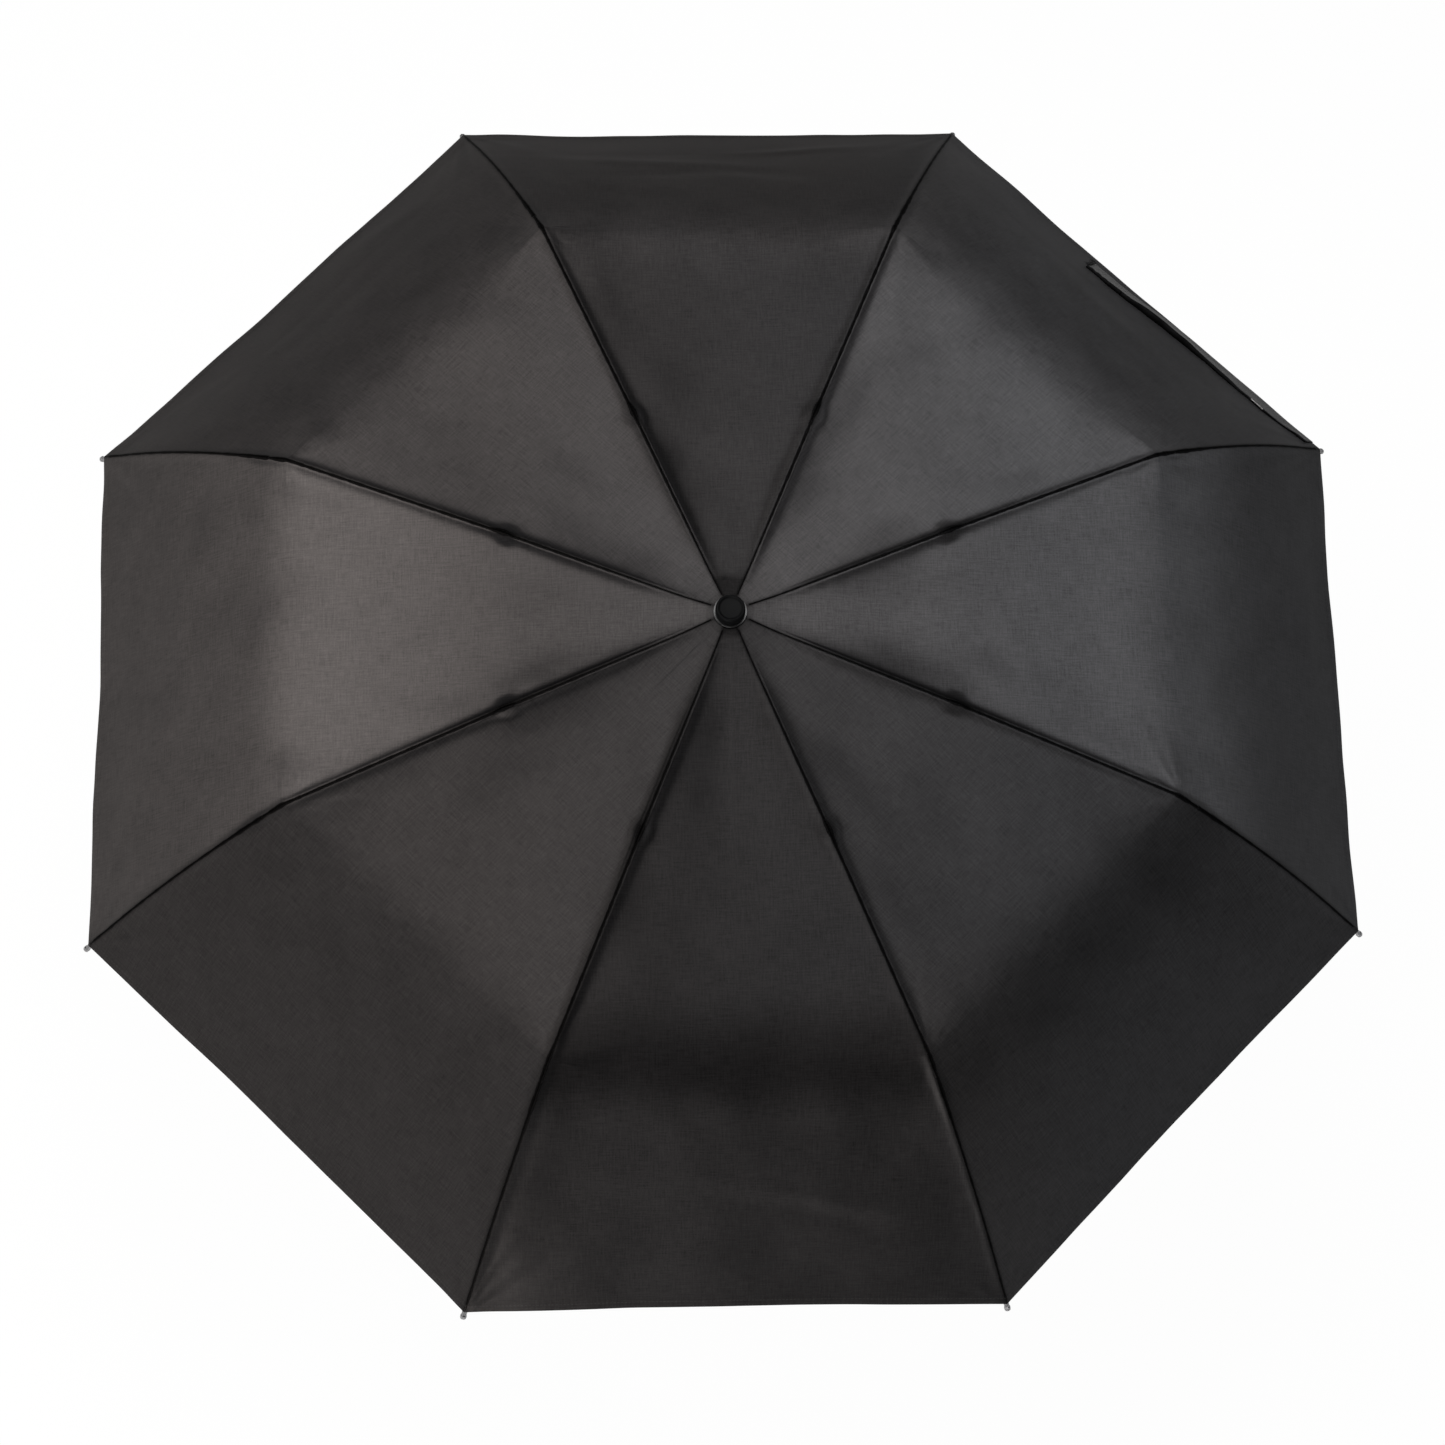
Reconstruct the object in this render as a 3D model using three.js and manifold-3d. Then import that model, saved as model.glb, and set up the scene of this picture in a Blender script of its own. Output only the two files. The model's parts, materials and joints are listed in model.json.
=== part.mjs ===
// Three-section folding umbrella, standing open on its handle end.
// Millimetres, +Z up. Origin: centre of the handle's flat end face, shaft along +Z.
// Rib i stands at azimuth 22.5 + 45 (i - 1) degrees. In a rib's own plane x runs outwards, y is
// tangential and z is up. A rib bar's own frame has x outwards along the bar and z on its cloth
// side; a stretcher's x runs from its rivet back to the runner.
import * as THREE from 'three';
import { mergeVertices } from 'three/addons/utils/BufferGeometryUtils.js';
import Module from 'manifold-3d';

const wasm = await Module();
wasm.setup();

// ---------- driving dimensions (slopes in degrees) ----------
const DEG = Math.PI / 180;
const RIBS = 8;
const RIB_STEP = 360 / RIBS;
const HALF_STEP = RIB_STEP / 2;
const CROWN = { radius: 10.5, z: 531 };       // the crown's hinge circle
const INNER = { length: 156, slope: 3.0 };    // ribs: length between pins, fall below level
const MIDDLE = { length: 162, slope: 5.5 };
const OUTER = { length: 201, slope: 40.8, bow: 9 };   // chord slope, outward bow at mid-length
const PIN_UP = 1.7;           // offset of the folding pins from the rib's centre line
const RIVET = { x: 84, z: -1.0 };             // stretcher rivet, in the inner rib's frame
const RUNNER_DROP = 42;       // runner's hinge circle below the crown's
const RUNNER_Z = CROWN.z - RUNNER_DROP;
const CLOTH_GAP = 3.4;        // cloth's lower face above the rib's centre line
const CLOTH_THICK = 0.4;
const HINGE_HOLE_R = 0.85;
const UPPER_TUBE = { inner: 5.7, outer: 6.2, bottom: CROWN.z - 205, top: CROWN.z + 2 };
const MIDDLE_TUBE = { inner: 4.7, outer: 5.2, bottom: 170, top: 350, flare: 0.3 };
const LOWER_TUBE = { inner: 3.7, outer: 4.2, bottom: 9, top: 200, flare: 0.3 };
const LATCH_PIN = { x: 9.2, z: -12.1 };       // in the runner's frame
const GRIP_TOP = 60;
const CORD_HOLE = { x: -16.4, z: 3.0, radius: 2.15 };

// ---------- materials ----------
const CLOTH = { name: 'cloth', color: 0x2b2a2c, roughness: 0.62, metalness: 0 };
const PLASTIC = { name: 'plastic', color: 0x17171a, roughness: 0.4, metalness: 0 };
const STEEL = { name: 'steel', color: 0x8d9094, roughness: 0.32, metalness: 1 };
const PAINTED = { name: 'painted_steel', color: 0x1d1d20, roughness: 0.35, metalness: 0.8 };
const TIP = { name: 'tip', color: 0xa9abae, roughness: 0.28, metalness: 1 };
const RUBBER = { name: 'grip', color: 0x1a1a1c, roughness: 0.7, metalness: 0 };
const CORD = { name: 'cord', color: 0x202023, roughness: 0.8, metalness: 0 };

// ---------- helpers ----------
function solid(source) {
  const bare = source.clone();
  bare.deleteAttribute('normal');
  bare.deleteAttribute('uv');
  const merged = mergeVertices(bare, 1e-4);
  return new wasm.Manifold(new wasm.Mesh({
    numProp: 3,
    vertProperties: Float32Array.from(merged.attributes.position.array),
    triVerts: Uint32Array.from(merged.index.array),
  }));
}

function geometry(body) {
  const mesh = body.getMesh();
  const points = new Float32Array(mesh.numVert * 3);
  for (let i = 0; i < mesh.numVert; i++) {
    const start = i * mesh.numProp;
    points.set(mesh.vertProperties.subarray(start, start + 3), i * 3);
  }
  const result = new THREE.BufferGeometry();
  result.setAttribute('position', new THREE.BufferAttribute(points, 3));
  result.setIndex(new THREE.BufferAttribute(Uint32Array.from(mesh.triVerts), 1));
  result.computeVertexNormals();
  return result;
}

const union = (...bodies) => bodies.reduce((a, b) => a.add(b));
const cut = (body, ...tools) => tools.reduce((a, b) => a.subtract(b), body);
const vectors = (points) => points.map(([x, y]) => new THREE.Vector2(x, y));
const extrude = (shape, depth) =>
  new THREE.ExtrudeGeometry(shape, { depth, bevelEnabled: false, steps: 1 });

const boxGeometry = (x0, x1, y0, y1, z0, z1) => new THREE.BoxGeometry(x1 - x0, y1 - y0, z1 - z0)
  .translate((x0 + x1) / 2, (y0 + y1) / 2, (z0 + z1) / 2);
const box = (...limits) => solid(boxGeometry(...limits));

// a round rod along y
const rodY = (x, z, radius, y0, y1, sides = 6) => solid(
  new THREE.CylinderGeometry(radius, radius, y1 - y0, sides)
    .rotateY(Math.PI / sides).translate(x, (y0 + y1) / 2, z));

// a plate standing in the x-z plane, between y0 and y1
const plate = (outline, y0, y1) => solid(
  extrude(new THREE.Shape(vectors(outline)), y1 - y0).rotateX(Math.PI / 2).translate(0, y1, 0));

function arc(x, z, radius, from, to, steps) {
  return Array.from({ length: steps + 1 }, (_, i) => {
    const angle = (from + (to - from) * i / steps) * DEG;
    return [x + radius * Math.cos(angle), z + radius * Math.sin(angle)];
  });
}

// [radius, z] outlines turned about z; LatheGeometry turns about y, so it is stood up
const lathe = (outline, sides = 24) =>
  new THREE.LatheGeometry(vectors(outline), sides).rotateX(Math.PI / 2);
const ring = (outline, sides) => lathe([...outline, outline[0]], sides);

const umbrella = new THREE.Group();

// adds a named mesh from a geometry or a manifold; tilt is in degrees about y
function piece(name, shape, finish, at = [0, 0, 0], tilt = 0, parent = umbrella) {
  const mesh = new THREE.Mesh(shape.isBufferGeometry ? shape : geometry(shape),
    new THREE.MeshStandardMaterial(finish));
  mesh.name = name;
  mesh.position.set(...at);
  mesh.rotation.y = tilt * DEG;
  parent.add(mesh);
}

// ---------- joints, as [radius, z] in a rib's plane ----------
// the point reached along a bar of the given slope, then off it on the cloth side
function offset([r, z], slope, along, up) {
  const c = Math.cos(slope * DEG);
  const s = Math.sin(slope * DEG);
  return [r + c * along + s * up, z - s * along + c * up];
}
const innerStart = [CROWN.radius, CROWN.z];
const rivetPoint = offset(innerStart, INNER.slope, RIVET.x, RIVET.z);
const innerFold = offset(innerStart, INNER.slope, INNER.length, PIN_UP);
const middleStart = offset(innerFold, MIDDLE.slope, 0, -PIN_UP);
const outerFold = offset(middleStart, MIDDLE.slope, MIDDLE.length, -PIN_UP);
const outerStart = offset(outerFold, OUTER.slope, 0, PIN_UP);
const outerEnd = offset(outerStart, OUTER.slope, OUTER.length, 0);
const runnerHinge = [CROWN.radius + RIVET.z, RUNNER_Z];
const [reach, rise] = [rivetPoint[0] - runnerHinge[0], rivetPoint[1] - runnerHinge[1]];
const stretcherLength = Math.hypot(reach, rise);
const stretcherSlope = Math.atan2(rise, reach) / DEG;   // rise from the runner outwards

// the outer rib's bow: height above its chord, and angle to it in radians
const bow = (x) => 4 * OUTER.bow * (x / OUTER.length) * (1 - x / OUTER.length);
const bowAngle = (x) => Math.atan(4 * OUTER.bow / OUTER.length * (1 - 2 * x / OUTER.length));

// ---------- bars of one rib set ----------
// a headed pin through a channel of the given half width
const pin = (x, z, half) => union(
  rodY(x, z, 0.5, -half - 0.1, half + 0.1),
  rodY(x, z, 0.95, -half - 0.35, -half + 0.05),
  rodY(x, z, 0.95, half - 0.05, half + 0.35));
const ears = (outline, inner, outer) => union(
  plate(outline, -outer, -inner),
  plate(outline, inner, outer));
const hingeHole = (z) => rodY(0, z, HINGE_HOLE_R, -3, 3);

// pinched eye at the crown, downward-open channel, ears for the middle rib's pin
function makeInnerRib() {
  const end = INNER.length;
  const eye = plate([...arc(0, 0, 1.6, 90, 270, 4), [8, -1.6], [8, 1.5]], -1.2, 1.2);
  const earOutline = [[end - 4, -1.5], [end + 1.3, -1.5], ...arc(end, PIN_UP, 1.3, 0, 180, 3),
    [end - 1.3, 1.5], [end - 4, 1.5]];
  return union(
    cut(eye, hingeHole(0)),
    cut(box(6, end - 3.5, -1.8, 1.8, -1.5, 1.5), box(8, end, -1.2, 1.2, -2, 0.9)),
    ears(earOutline, 1.2, 1.8),
    pin(end, PIN_UP, 1.8),
    pin(RIVET.x, RIVET.z, 1.8));
}

// a flat bar with an eye at each end, narrow enough for the inner rib's channel
function makeStretcher() {
  const outline = [...arc(0, 0, 1.3, 90, 270, 4), ...arc(stretcherLength, 0, 1.3, -90, 90, 4)];
  return cut(plate(outline, -0.8, 0.8),
    rodY(0, 0, 0.8, -2, 2), rodY(stretcherLength, 0, 0.8, -2, 2));
}

// lug between the inner rib's ears, channel, ears for the outer rib's pin
function makeMiddleRib() {
  const end = MIDDLE.length;
  const lug = plate([[3.5, -1.4], [7, -1.4], [7, 1.4], [3.2, 1.4],
    ...arc(0, PIN_UP, 1.3, 30, 270, 5)], -0.9, 0.9);
  const earOutline = [[end - 5, 1.4], [end - 5, -1.4], [end - 1.3, -1.4],
    ...arc(end, -PIN_UP, 1.3, 180, 360, 3), [end + 1.3, 0.2], [end, 1.4]];
  return union(
    cut(lug, hingeHole(PIN_UP)),
    cut(box(4, end - 4, -1.5, 1.5, -1.4, 1.4), box(7, end, -1, 1, -2, 0.9)),
    ears(earOutline, 0.95, 1.5),
    pin(end, -PIN_UP, 1.5));
}

// flat lug, then a six-sided rod bowed by the cloth
function makeOuterRib() {
  const start = 4;
  const steps = 7;
  const path = new THREE.CatmullRomCurve3(Array.from({ length: steps + 1 }, (_, i) => {
    const x = start + (OUTER.length - start) * i / steps;
    return new THREE.Vector3(x, 0, bow(x));
  }));
  const section = new THREE.Shape(vectors(arc(0, 0, 1.15, 0, 300, 5)));
  const rod = new THREE.ExtrudeGeometry(section,
    { extrudePath: path, steps, bevelEnabled: false });
  const lug = plate([[4.2, bow(4) - 1.0], [9, bow(9) - 0.9], [9, bow(9) + 0.9],
    [4.2, bow(4) + 0.9], ...arc(0, -PIN_UP, 1.2, 60, 290, 5)], -0.7, 0.7);
  return union(solid(rod), cut(lug, hingeHole(-PIN_UP)));
}

// a socket over the rod's end with a blunt nose, turned to lie along x
const tip = lathe([[0, 0.6], [1.45, 0.6], [1.45, -7], [1.85, -7], [1.85, 1.4], [2.3, 2.4],
  [2.1, 4.6], [0, 5.8]], 8).rotateY(Math.PI / 2);

// name, shape, finish, [radius, z] of its origin, tilt
const bars = [
  ['top_rib_', geometry(makeInnerRib()), PAINTED, innerStart, INNER.slope],
  ['stretcher_', geometry(makeStretcher()), STEEL, rivetPoint, 180 - stretcherSlope],
  ['middle_rib_', geometry(makeMiddleRib()), PAINTED, middleStart, MIDDLE.slope],
  ['outer_rib_', geometry(makeOuterRib()), STEEL, outerStart, OUTER.slope],
  ['rib_tip_', tip, TIP, outerEnd, OUTER.slope - bowAngle(OUTER.length) / DEG],
];
for (let i = 1; i <= RIBS; i++) {
  const plane = new THREE.Group();
  plane.rotation.z = (HALF_STEP + RIB_STEP * (i - 1)) * DEG;
  umbrella.add(plane);
  for (const [name, shape, finish, [r, z], tilt] of bars) {
    piece(name + i, shape, finish, [r, 0, z], tilt, plane);
  }
}

// ---------- crown, its wire ring, cloth washer and cap ----------
const CORNER_SCALE = 1 / Math.cos(HALF_STEP * DEG);   // octagon's corner radius over its flats'

// an eight-sided band, each side square to a rib; radii are to the flats
function band(inner, outer, z0, z1) {
  const octagon = (flat) =>
    vectors(arc(0, 0, flat * CORNER_SCALE, 0, 360 - RIB_STEP, RIBS - 1));
  const shape = new THREE.Shape(octagon(outer));
  shape.holes.push(new THREE.Path(octagon(inner)));
  return solid(extrude(shape, z1 - z0).translate(0, 0, z0));
}

// one radial block at each rib, for cutting slots
const spokes = (width, r0, r1, z0, z1) => Array.from({ length: RIBS }, (_, k) => solid(
  boxGeometry(r0, r1, -width / 2, width / 2, z0, z1)
    .rotateZ((HALF_STEP + RIB_STEP * k) * DEG)));

const crown = cut(
  solid(ring([[6.45, -14], [8.4, -14], [8.4, -2.6], [13.2, -2.6], [13.2, 3.2], [12.4, 4],
    [6.45, 4]])),
  ...spokes(3.2, 8.6, 16, -5, 2.3),
  ...spokes(4.8, 12.1, 16, -5, 6),
  band(CROWN.radius - 0.75, CROWN.radius + 0.75, -5, 0.85));   // groove for the wire
const crownWire = new THREE.TorusGeometry(CROWN.radius * CORNER_SCALE, 0.5, 6, RIBS);
const washer = ring([[5.2, 5.9], [11.8, 5.9], [11.4, 6.6], [5.2, 6.6]]);
const topCap = lathe([[0, -8], [4.9, -8], [4.9, 7], [9.9, 7], [10.2, 7.6], [10.2, 12.6],
  [9.4, 13.5], [8.2, 13.5], [7.4, 12.9], [0, 12.9]]);
const atCrown = [0, 0, CROWN.z];
piece('crown', crown, PLASTIC, atCrown);
piece('crown_wire', crownWire, STEEL, atCrown);
piece('cloth_washer', washer, PLASTIC, atCrown);
piece('top_cap', topCap, PLASTIC, atCrown);

// ---------- telescopic shaft ----------
// the latch's window, on the +x side of the upper tube
const latchWindow = box(5, 8, -1.5, 1.5, RUNNER_Z - 8.2, RUNNER_Z - 4);
const upperTube = ring([[UPPER_TUBE.inner, UPPER_TUBE.bottom],
  [UPPER_TUBE.outer, UPPER_TUBE.bottom], [UPPER_TUBE.outer, UPPER_TUBE.top],
  [UPPER_TUBE.inner, UPPER_TUBE.top]]);

// a tube whose top end is flared outside
const flaredTube = ({ inner, outer, bottom, top, flare }) => ring([[inner, bottom],
  [outer, bottom], [outer, top - 7], [outer + flare, top - 6], [outer + flare, top],
  [inner, top]]);

// a collar at the lower end of one tube, round the next tube in, of radius r
function collar(r, tubeEnd) {
  const z = tubeEnd - 4;
  return ring([[r + 0.2, z], [r + 2.3, z], [r + 2.3, z + 7], [r + 1.9, z + 7.6],
    [r + 1.2, z + 7.6], [r + 1.2, z + 3.7], [r + 0.2, z + 3.7]], 16);
}
piece('upper_tube', cut(solid(upperTube), latchWindow), PAINTED);
piece('middle_tube', flaredTube(MIDDLE_TUBE), STEEL);
piece('lower_tube', flaredTube(LOWER_TUBE), STEEL);
piece('upper_collar', collar(MIDDLE_TUBE.outer, UPPER_TUBE.bottom), PLASTIC);
piece('lower_collar', collar(LOWER_TUBE.outer, MIDDLE_TUBE.bottom), PLASTIC);

// ---------- runner and its latch ----------
const runnerBody = cut(
  solid(ring([[6.4, -24], [9.0, -24], [9.0, -20.6], [7.9, -19.6], [7.9, -2.6], [12.2, -2.6],
    [12.2, 2.6], [7.9, 2.6], [7.9, 5], [7.4, 5.4], [6.4, 5.4]])),
  ...spokes(2.4, 8.0, 15, -5, 5),
  box(5, 13, -1.7, 1.7, -8.6, -3.6),         // opening for the latch's nose
  box(8.05, 14, -2.15, 2.15, -18.6, -2));    // room for the latch's arm
const pinLugs = [[2.2, 3.0], [-3.0, -2.2]].map(([y0, y1]) =>
  box(6.8, 10.3, y0, y1, LATCH_PIN.z - 1.5, LATCH_PIN.z + 1.5));
const latchPin = rodY(LATCH_PIN.x, LATCH_PIN.z, 0.5, -2.8, 2.8);
const latch = cut(
  plate([[8.4, -8.1], [6.45, -7.9], [6.45, -4.6], [8.0, -4.2], [9.6, -4.2], [10.6, -6],
    [10.6, -14.5], [12.2, -15.5], [12.2, -18.6], [11.4, -19.4], [10.4, -19.4], [9.9, -14.2],
    [8.3, -13.6]], -1.4, 1.4),
  rodY(LATCH_PIN.x, LATCH_PIN.z, 0.8, -3, 3));
piece('runner', union(runnerBody, ...pinLugs, latchPin), PLASTIC, [0, 0, RUNNER_Z]);
piece('runner_latch', latch, PLASTIC, [0, 0, RUNNER_Z]);

// ---------- handle ----------
const grip = ring([[4.4, 10.2], [7.6, 10.2], [7.6, 6.4], [14.6, 6.4], [15.2, 8], [15.6, 18],
  [14.9, 40], [15.3, 56], [14.4, GRIP_TOP], [13.2, GRIP_TOP], [12.8, 38], [9.4, 34], [9.4, 26],
  [4.4, 24]]);
const endCap = cut(
  union(
    solid(lathe([[0, 0], [12.6, 0], [14.3, 1.4], [14.6, 6], [7.2, 6], [7.2, 8.6], [0, 8.6]])),
    box(-19.6, -10, -2, 2, 0.2, 5.8)),       // lug for the cord, on the -x side
  rodY(CORD_HOLE.x, CORD_HOLE.z, CORD_HOLE.radius, -3, 3, 12));

// a long loop hanging from the hole: a torus stretched to an ellipse, its cord kept round
function makeCord() {
  const halfLength = 46;
  const halfWidth = 13;
  const torusRadius = 10;
  const loop = new THREE.TorusGeometry(torusRadius, 1.1, 6, 36);
  const position = loop.attributes.position;
  const point = new THREE.Vector3();
  for (let k = 0; k < position.count; k++) {
    point.fromBufferAttribute(position, k);
    const angle = Math.atan2(point.y, point.x);
    const across = Math.hypot(point.x, point.y) - torusRadius;
    const c = Math.cos(angle);
    const s = Math.sin(angle);
    const normal = new THREE.Vector2(halfWidth * c, halfLength * s).normalize();
    position.setXYZ(k,
      CORD_HOLE.x - point.z,
      halfWidth * s + across * normal.y,
      CORD_HOLE.z - halfLength + halfLength * c + across * normal.x);
  }
  return loop;
}
piece('handle_grip', grip, RUBBER);
piece('end_cap', endCap, PLASTIC);
piece('wrist_cord', makeCord(), CORD);

// ---------- canopy ----------
// the cloth's lower face over a rib, as [radius, z] from the crown to the hem
const lowerFace = [
  [6.2, CROWN.z + 4.6],
  [13.2, CROWN.z + 4.5],
  ...[12, 80, INNER.length - 2].map((x) => offset(innerStart, INNER.slope, x, CLOTH_GAP)),
  ...[80, MIDDLE.length - 3].map((x) => offset(middleStart, MIDDLE.slope, x, CLOTH_GAP)),
  ...[6, 24, 60, 105, 150, OUTER.length - 2].map((x) => {
    const angle = bowAngle(x);
    const gap = x > 170 ? 3.1 : CLOTH_GAP;   // the hem lies closer to the rod
    return offset(outerStart, OUTER.slope,
      x - Math.sin(angle) * gap, bow(x) + Math.cos(angle) * gap);
  }),
];
// the upper face, one cloth thickness off, square to the line through each point's neighbours
const upperFace = lowerFace.map(([r, z], i) => {
  const [r0, z0] = lowerFace[Math.max(0, i - 1)];
  const [r1, z1] = lowerFace[Math.min(lowerFace.length - 1, i + 1)];
  const length = Math.hypot(r1 - r0, z1 - z0);
  return [r - (z1 - z0) / length * CLOTH_THICK, z + (r1 - r0) / length * CLOTH_THICK];
});

// turned as a round dome, then each gore is drawn straight between its two ribs
function makeCanopy() {
  const profile = [...lowerFace, ...upperFace.toReversed(), lowerFace[0]];
  const dome = lathe(profile, 32);

  // the upper face takes the same diagonals as the lower face, so the two stay parallel
  const index = dome.index.array;
  for (let k = 0; k < index.length; k += 6) {
    const a = Math.min(index[k], index[k + 1], index[k + 2]);
    if (a % profile.length >= lowerFace.length) {
      const b = a + profile.length;
      index.set([a, b, b + 1, a, b + 1, a + 1], k);
    }
  }

  // sag grows from radius 20 to 140 and fades from 420 to 480
  const clamp = (value) => Math.max(0, Math.min(1, value));
  const sag = (r) => 4.5 * clamp((r - 20) / 120) * clamp((480 - r) / 60);
  const position = dome.attributes.position;
  for (let k = 0; k < position.count; k++) {
    const x = position.getX(k);
    const y = position.getY(k);
    const azimuth = Math.atan2(y, x) / DEG;
    const fromMiddle = azimuth - RIB_STEP * Math.round(azimuth / RIB_STEP);
    const scale = Math.cos(HALF_STEP * DEG) / Math.cos(fromMiddle * DEG);
    const share = Math.max(0, 1 - (fromMiddle / HALF_STEP) ** 2);
    position.setXYZ(k, x * scale, y * scale, position.getZ(k) - sag(Math.hypot(x, y)) * share);
  }
  return dome;
}
piece('canopy', makeCanopy(), CLOTH);

// ---------- closure strap, lying on the hem of the gore between ribs 1 and 2 ----------
const STRAP = { length: 216, width: 20, thick: 0.8, lift: 1.0 };
const hem = upperFace.at(-1);
const aboveHem = upperFace.at(-2);
const azimuthVector = (degrees, r = 1, z = 0) =>
  new THREE.Vector3(r * Math.cos(degrees * DEG), r * Math.sin(degrees * DEG), z);
// the strap's frame: along the hem, up the gore, and out of the cloth
const corner = azimuthVector(HALF_STEP, ...hem);
const along = azimuthVector(RIB_STEP + 90);
const upGore = azimuthVector(RIB_STEP,
  (aboveHem[0] - hem[0]) * Math.cos(HALF_STEP * DEG), aboveHem[1] - hem[1]).normalize();
const outward = new THREE.Vector3().crossVectors(along, upGore);

function makeStrap() {
  const { length, width, thick, lift } = STRAP;
  const outline = [[8, 1.5], [length - 3, 1.5], [length, 4.5], [length, width - 1],
    [length - 3, width + 1.5], [14, width + 1.5], [8, 9]];
  const frame = new THREE.Matrix4().makeBasis(along, upGore, outward)
    .setPosition(corner.clone().addScaledVector(outward, lift));
  return extrude(new THREE.Shape(vectors(outline)), thick).applyMatrix4(frame);
}
piece('closure_strap', makeStrap(), CLOTH);

// joints, bar sizes and the strap's frame, carried with the group
umbrella.userData = {
  Q: rivetPoint, J1: innerFold, J2: outerFold, RP: runnerHinge,
  STR_L: stretcherLength, STR_SLOPE: stretcherSlope,
  RUN_TRAVEL: RIVET.x + stretcherLength - RUNNER_DROP,
  CROWN_R: CROWN.radius, CROWN_Z: CROWN.z,
  TOP_SLOPE: INNER.slope, MID_SLOPE: MIDDLE.slope, OUT_SLOPE: OUTER.slope,
  corner: corner.toArray(), along: along.toArray(), slope: upGore.toArray(),
  out: outward.toArray(), hem,
};
export default umbrella;
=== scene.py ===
"""Looks for an open folding umbrella, built around its CAD frame.

The shaft stands on the Z axis with the cap at the top. Rib 1 lies 22.5 degrees from +X towards +Y
and the other seven follow every 45 degrees. The near side is -Y and the right side +X.
Gore n is the cloth between ribs n and n + 1, counted from 0. Each gore has two halves, and a half
is known by its rib and its side of that rib: +1 counter-clockwise seen from above, -1 clockwise.

Lengths in the mesh code are millimetres in the CAD frame, turned into metres as a mesh is made.
The cloth is one continuous sheet. It is cut into pieces only where it has to fold, the pieces
share their edges exactly, and their shading normals come from the whole sheet.
On the sheet, s is the distance down a rib, and t runs from 0 at the rib to 1 at the gore's middle.
"""
import json
from math import atan, cos, exp, pi, radians, sin, sqrt
import bmesh
import bpy
import numpy as np
from mathutils import Matrix, Vector
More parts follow.
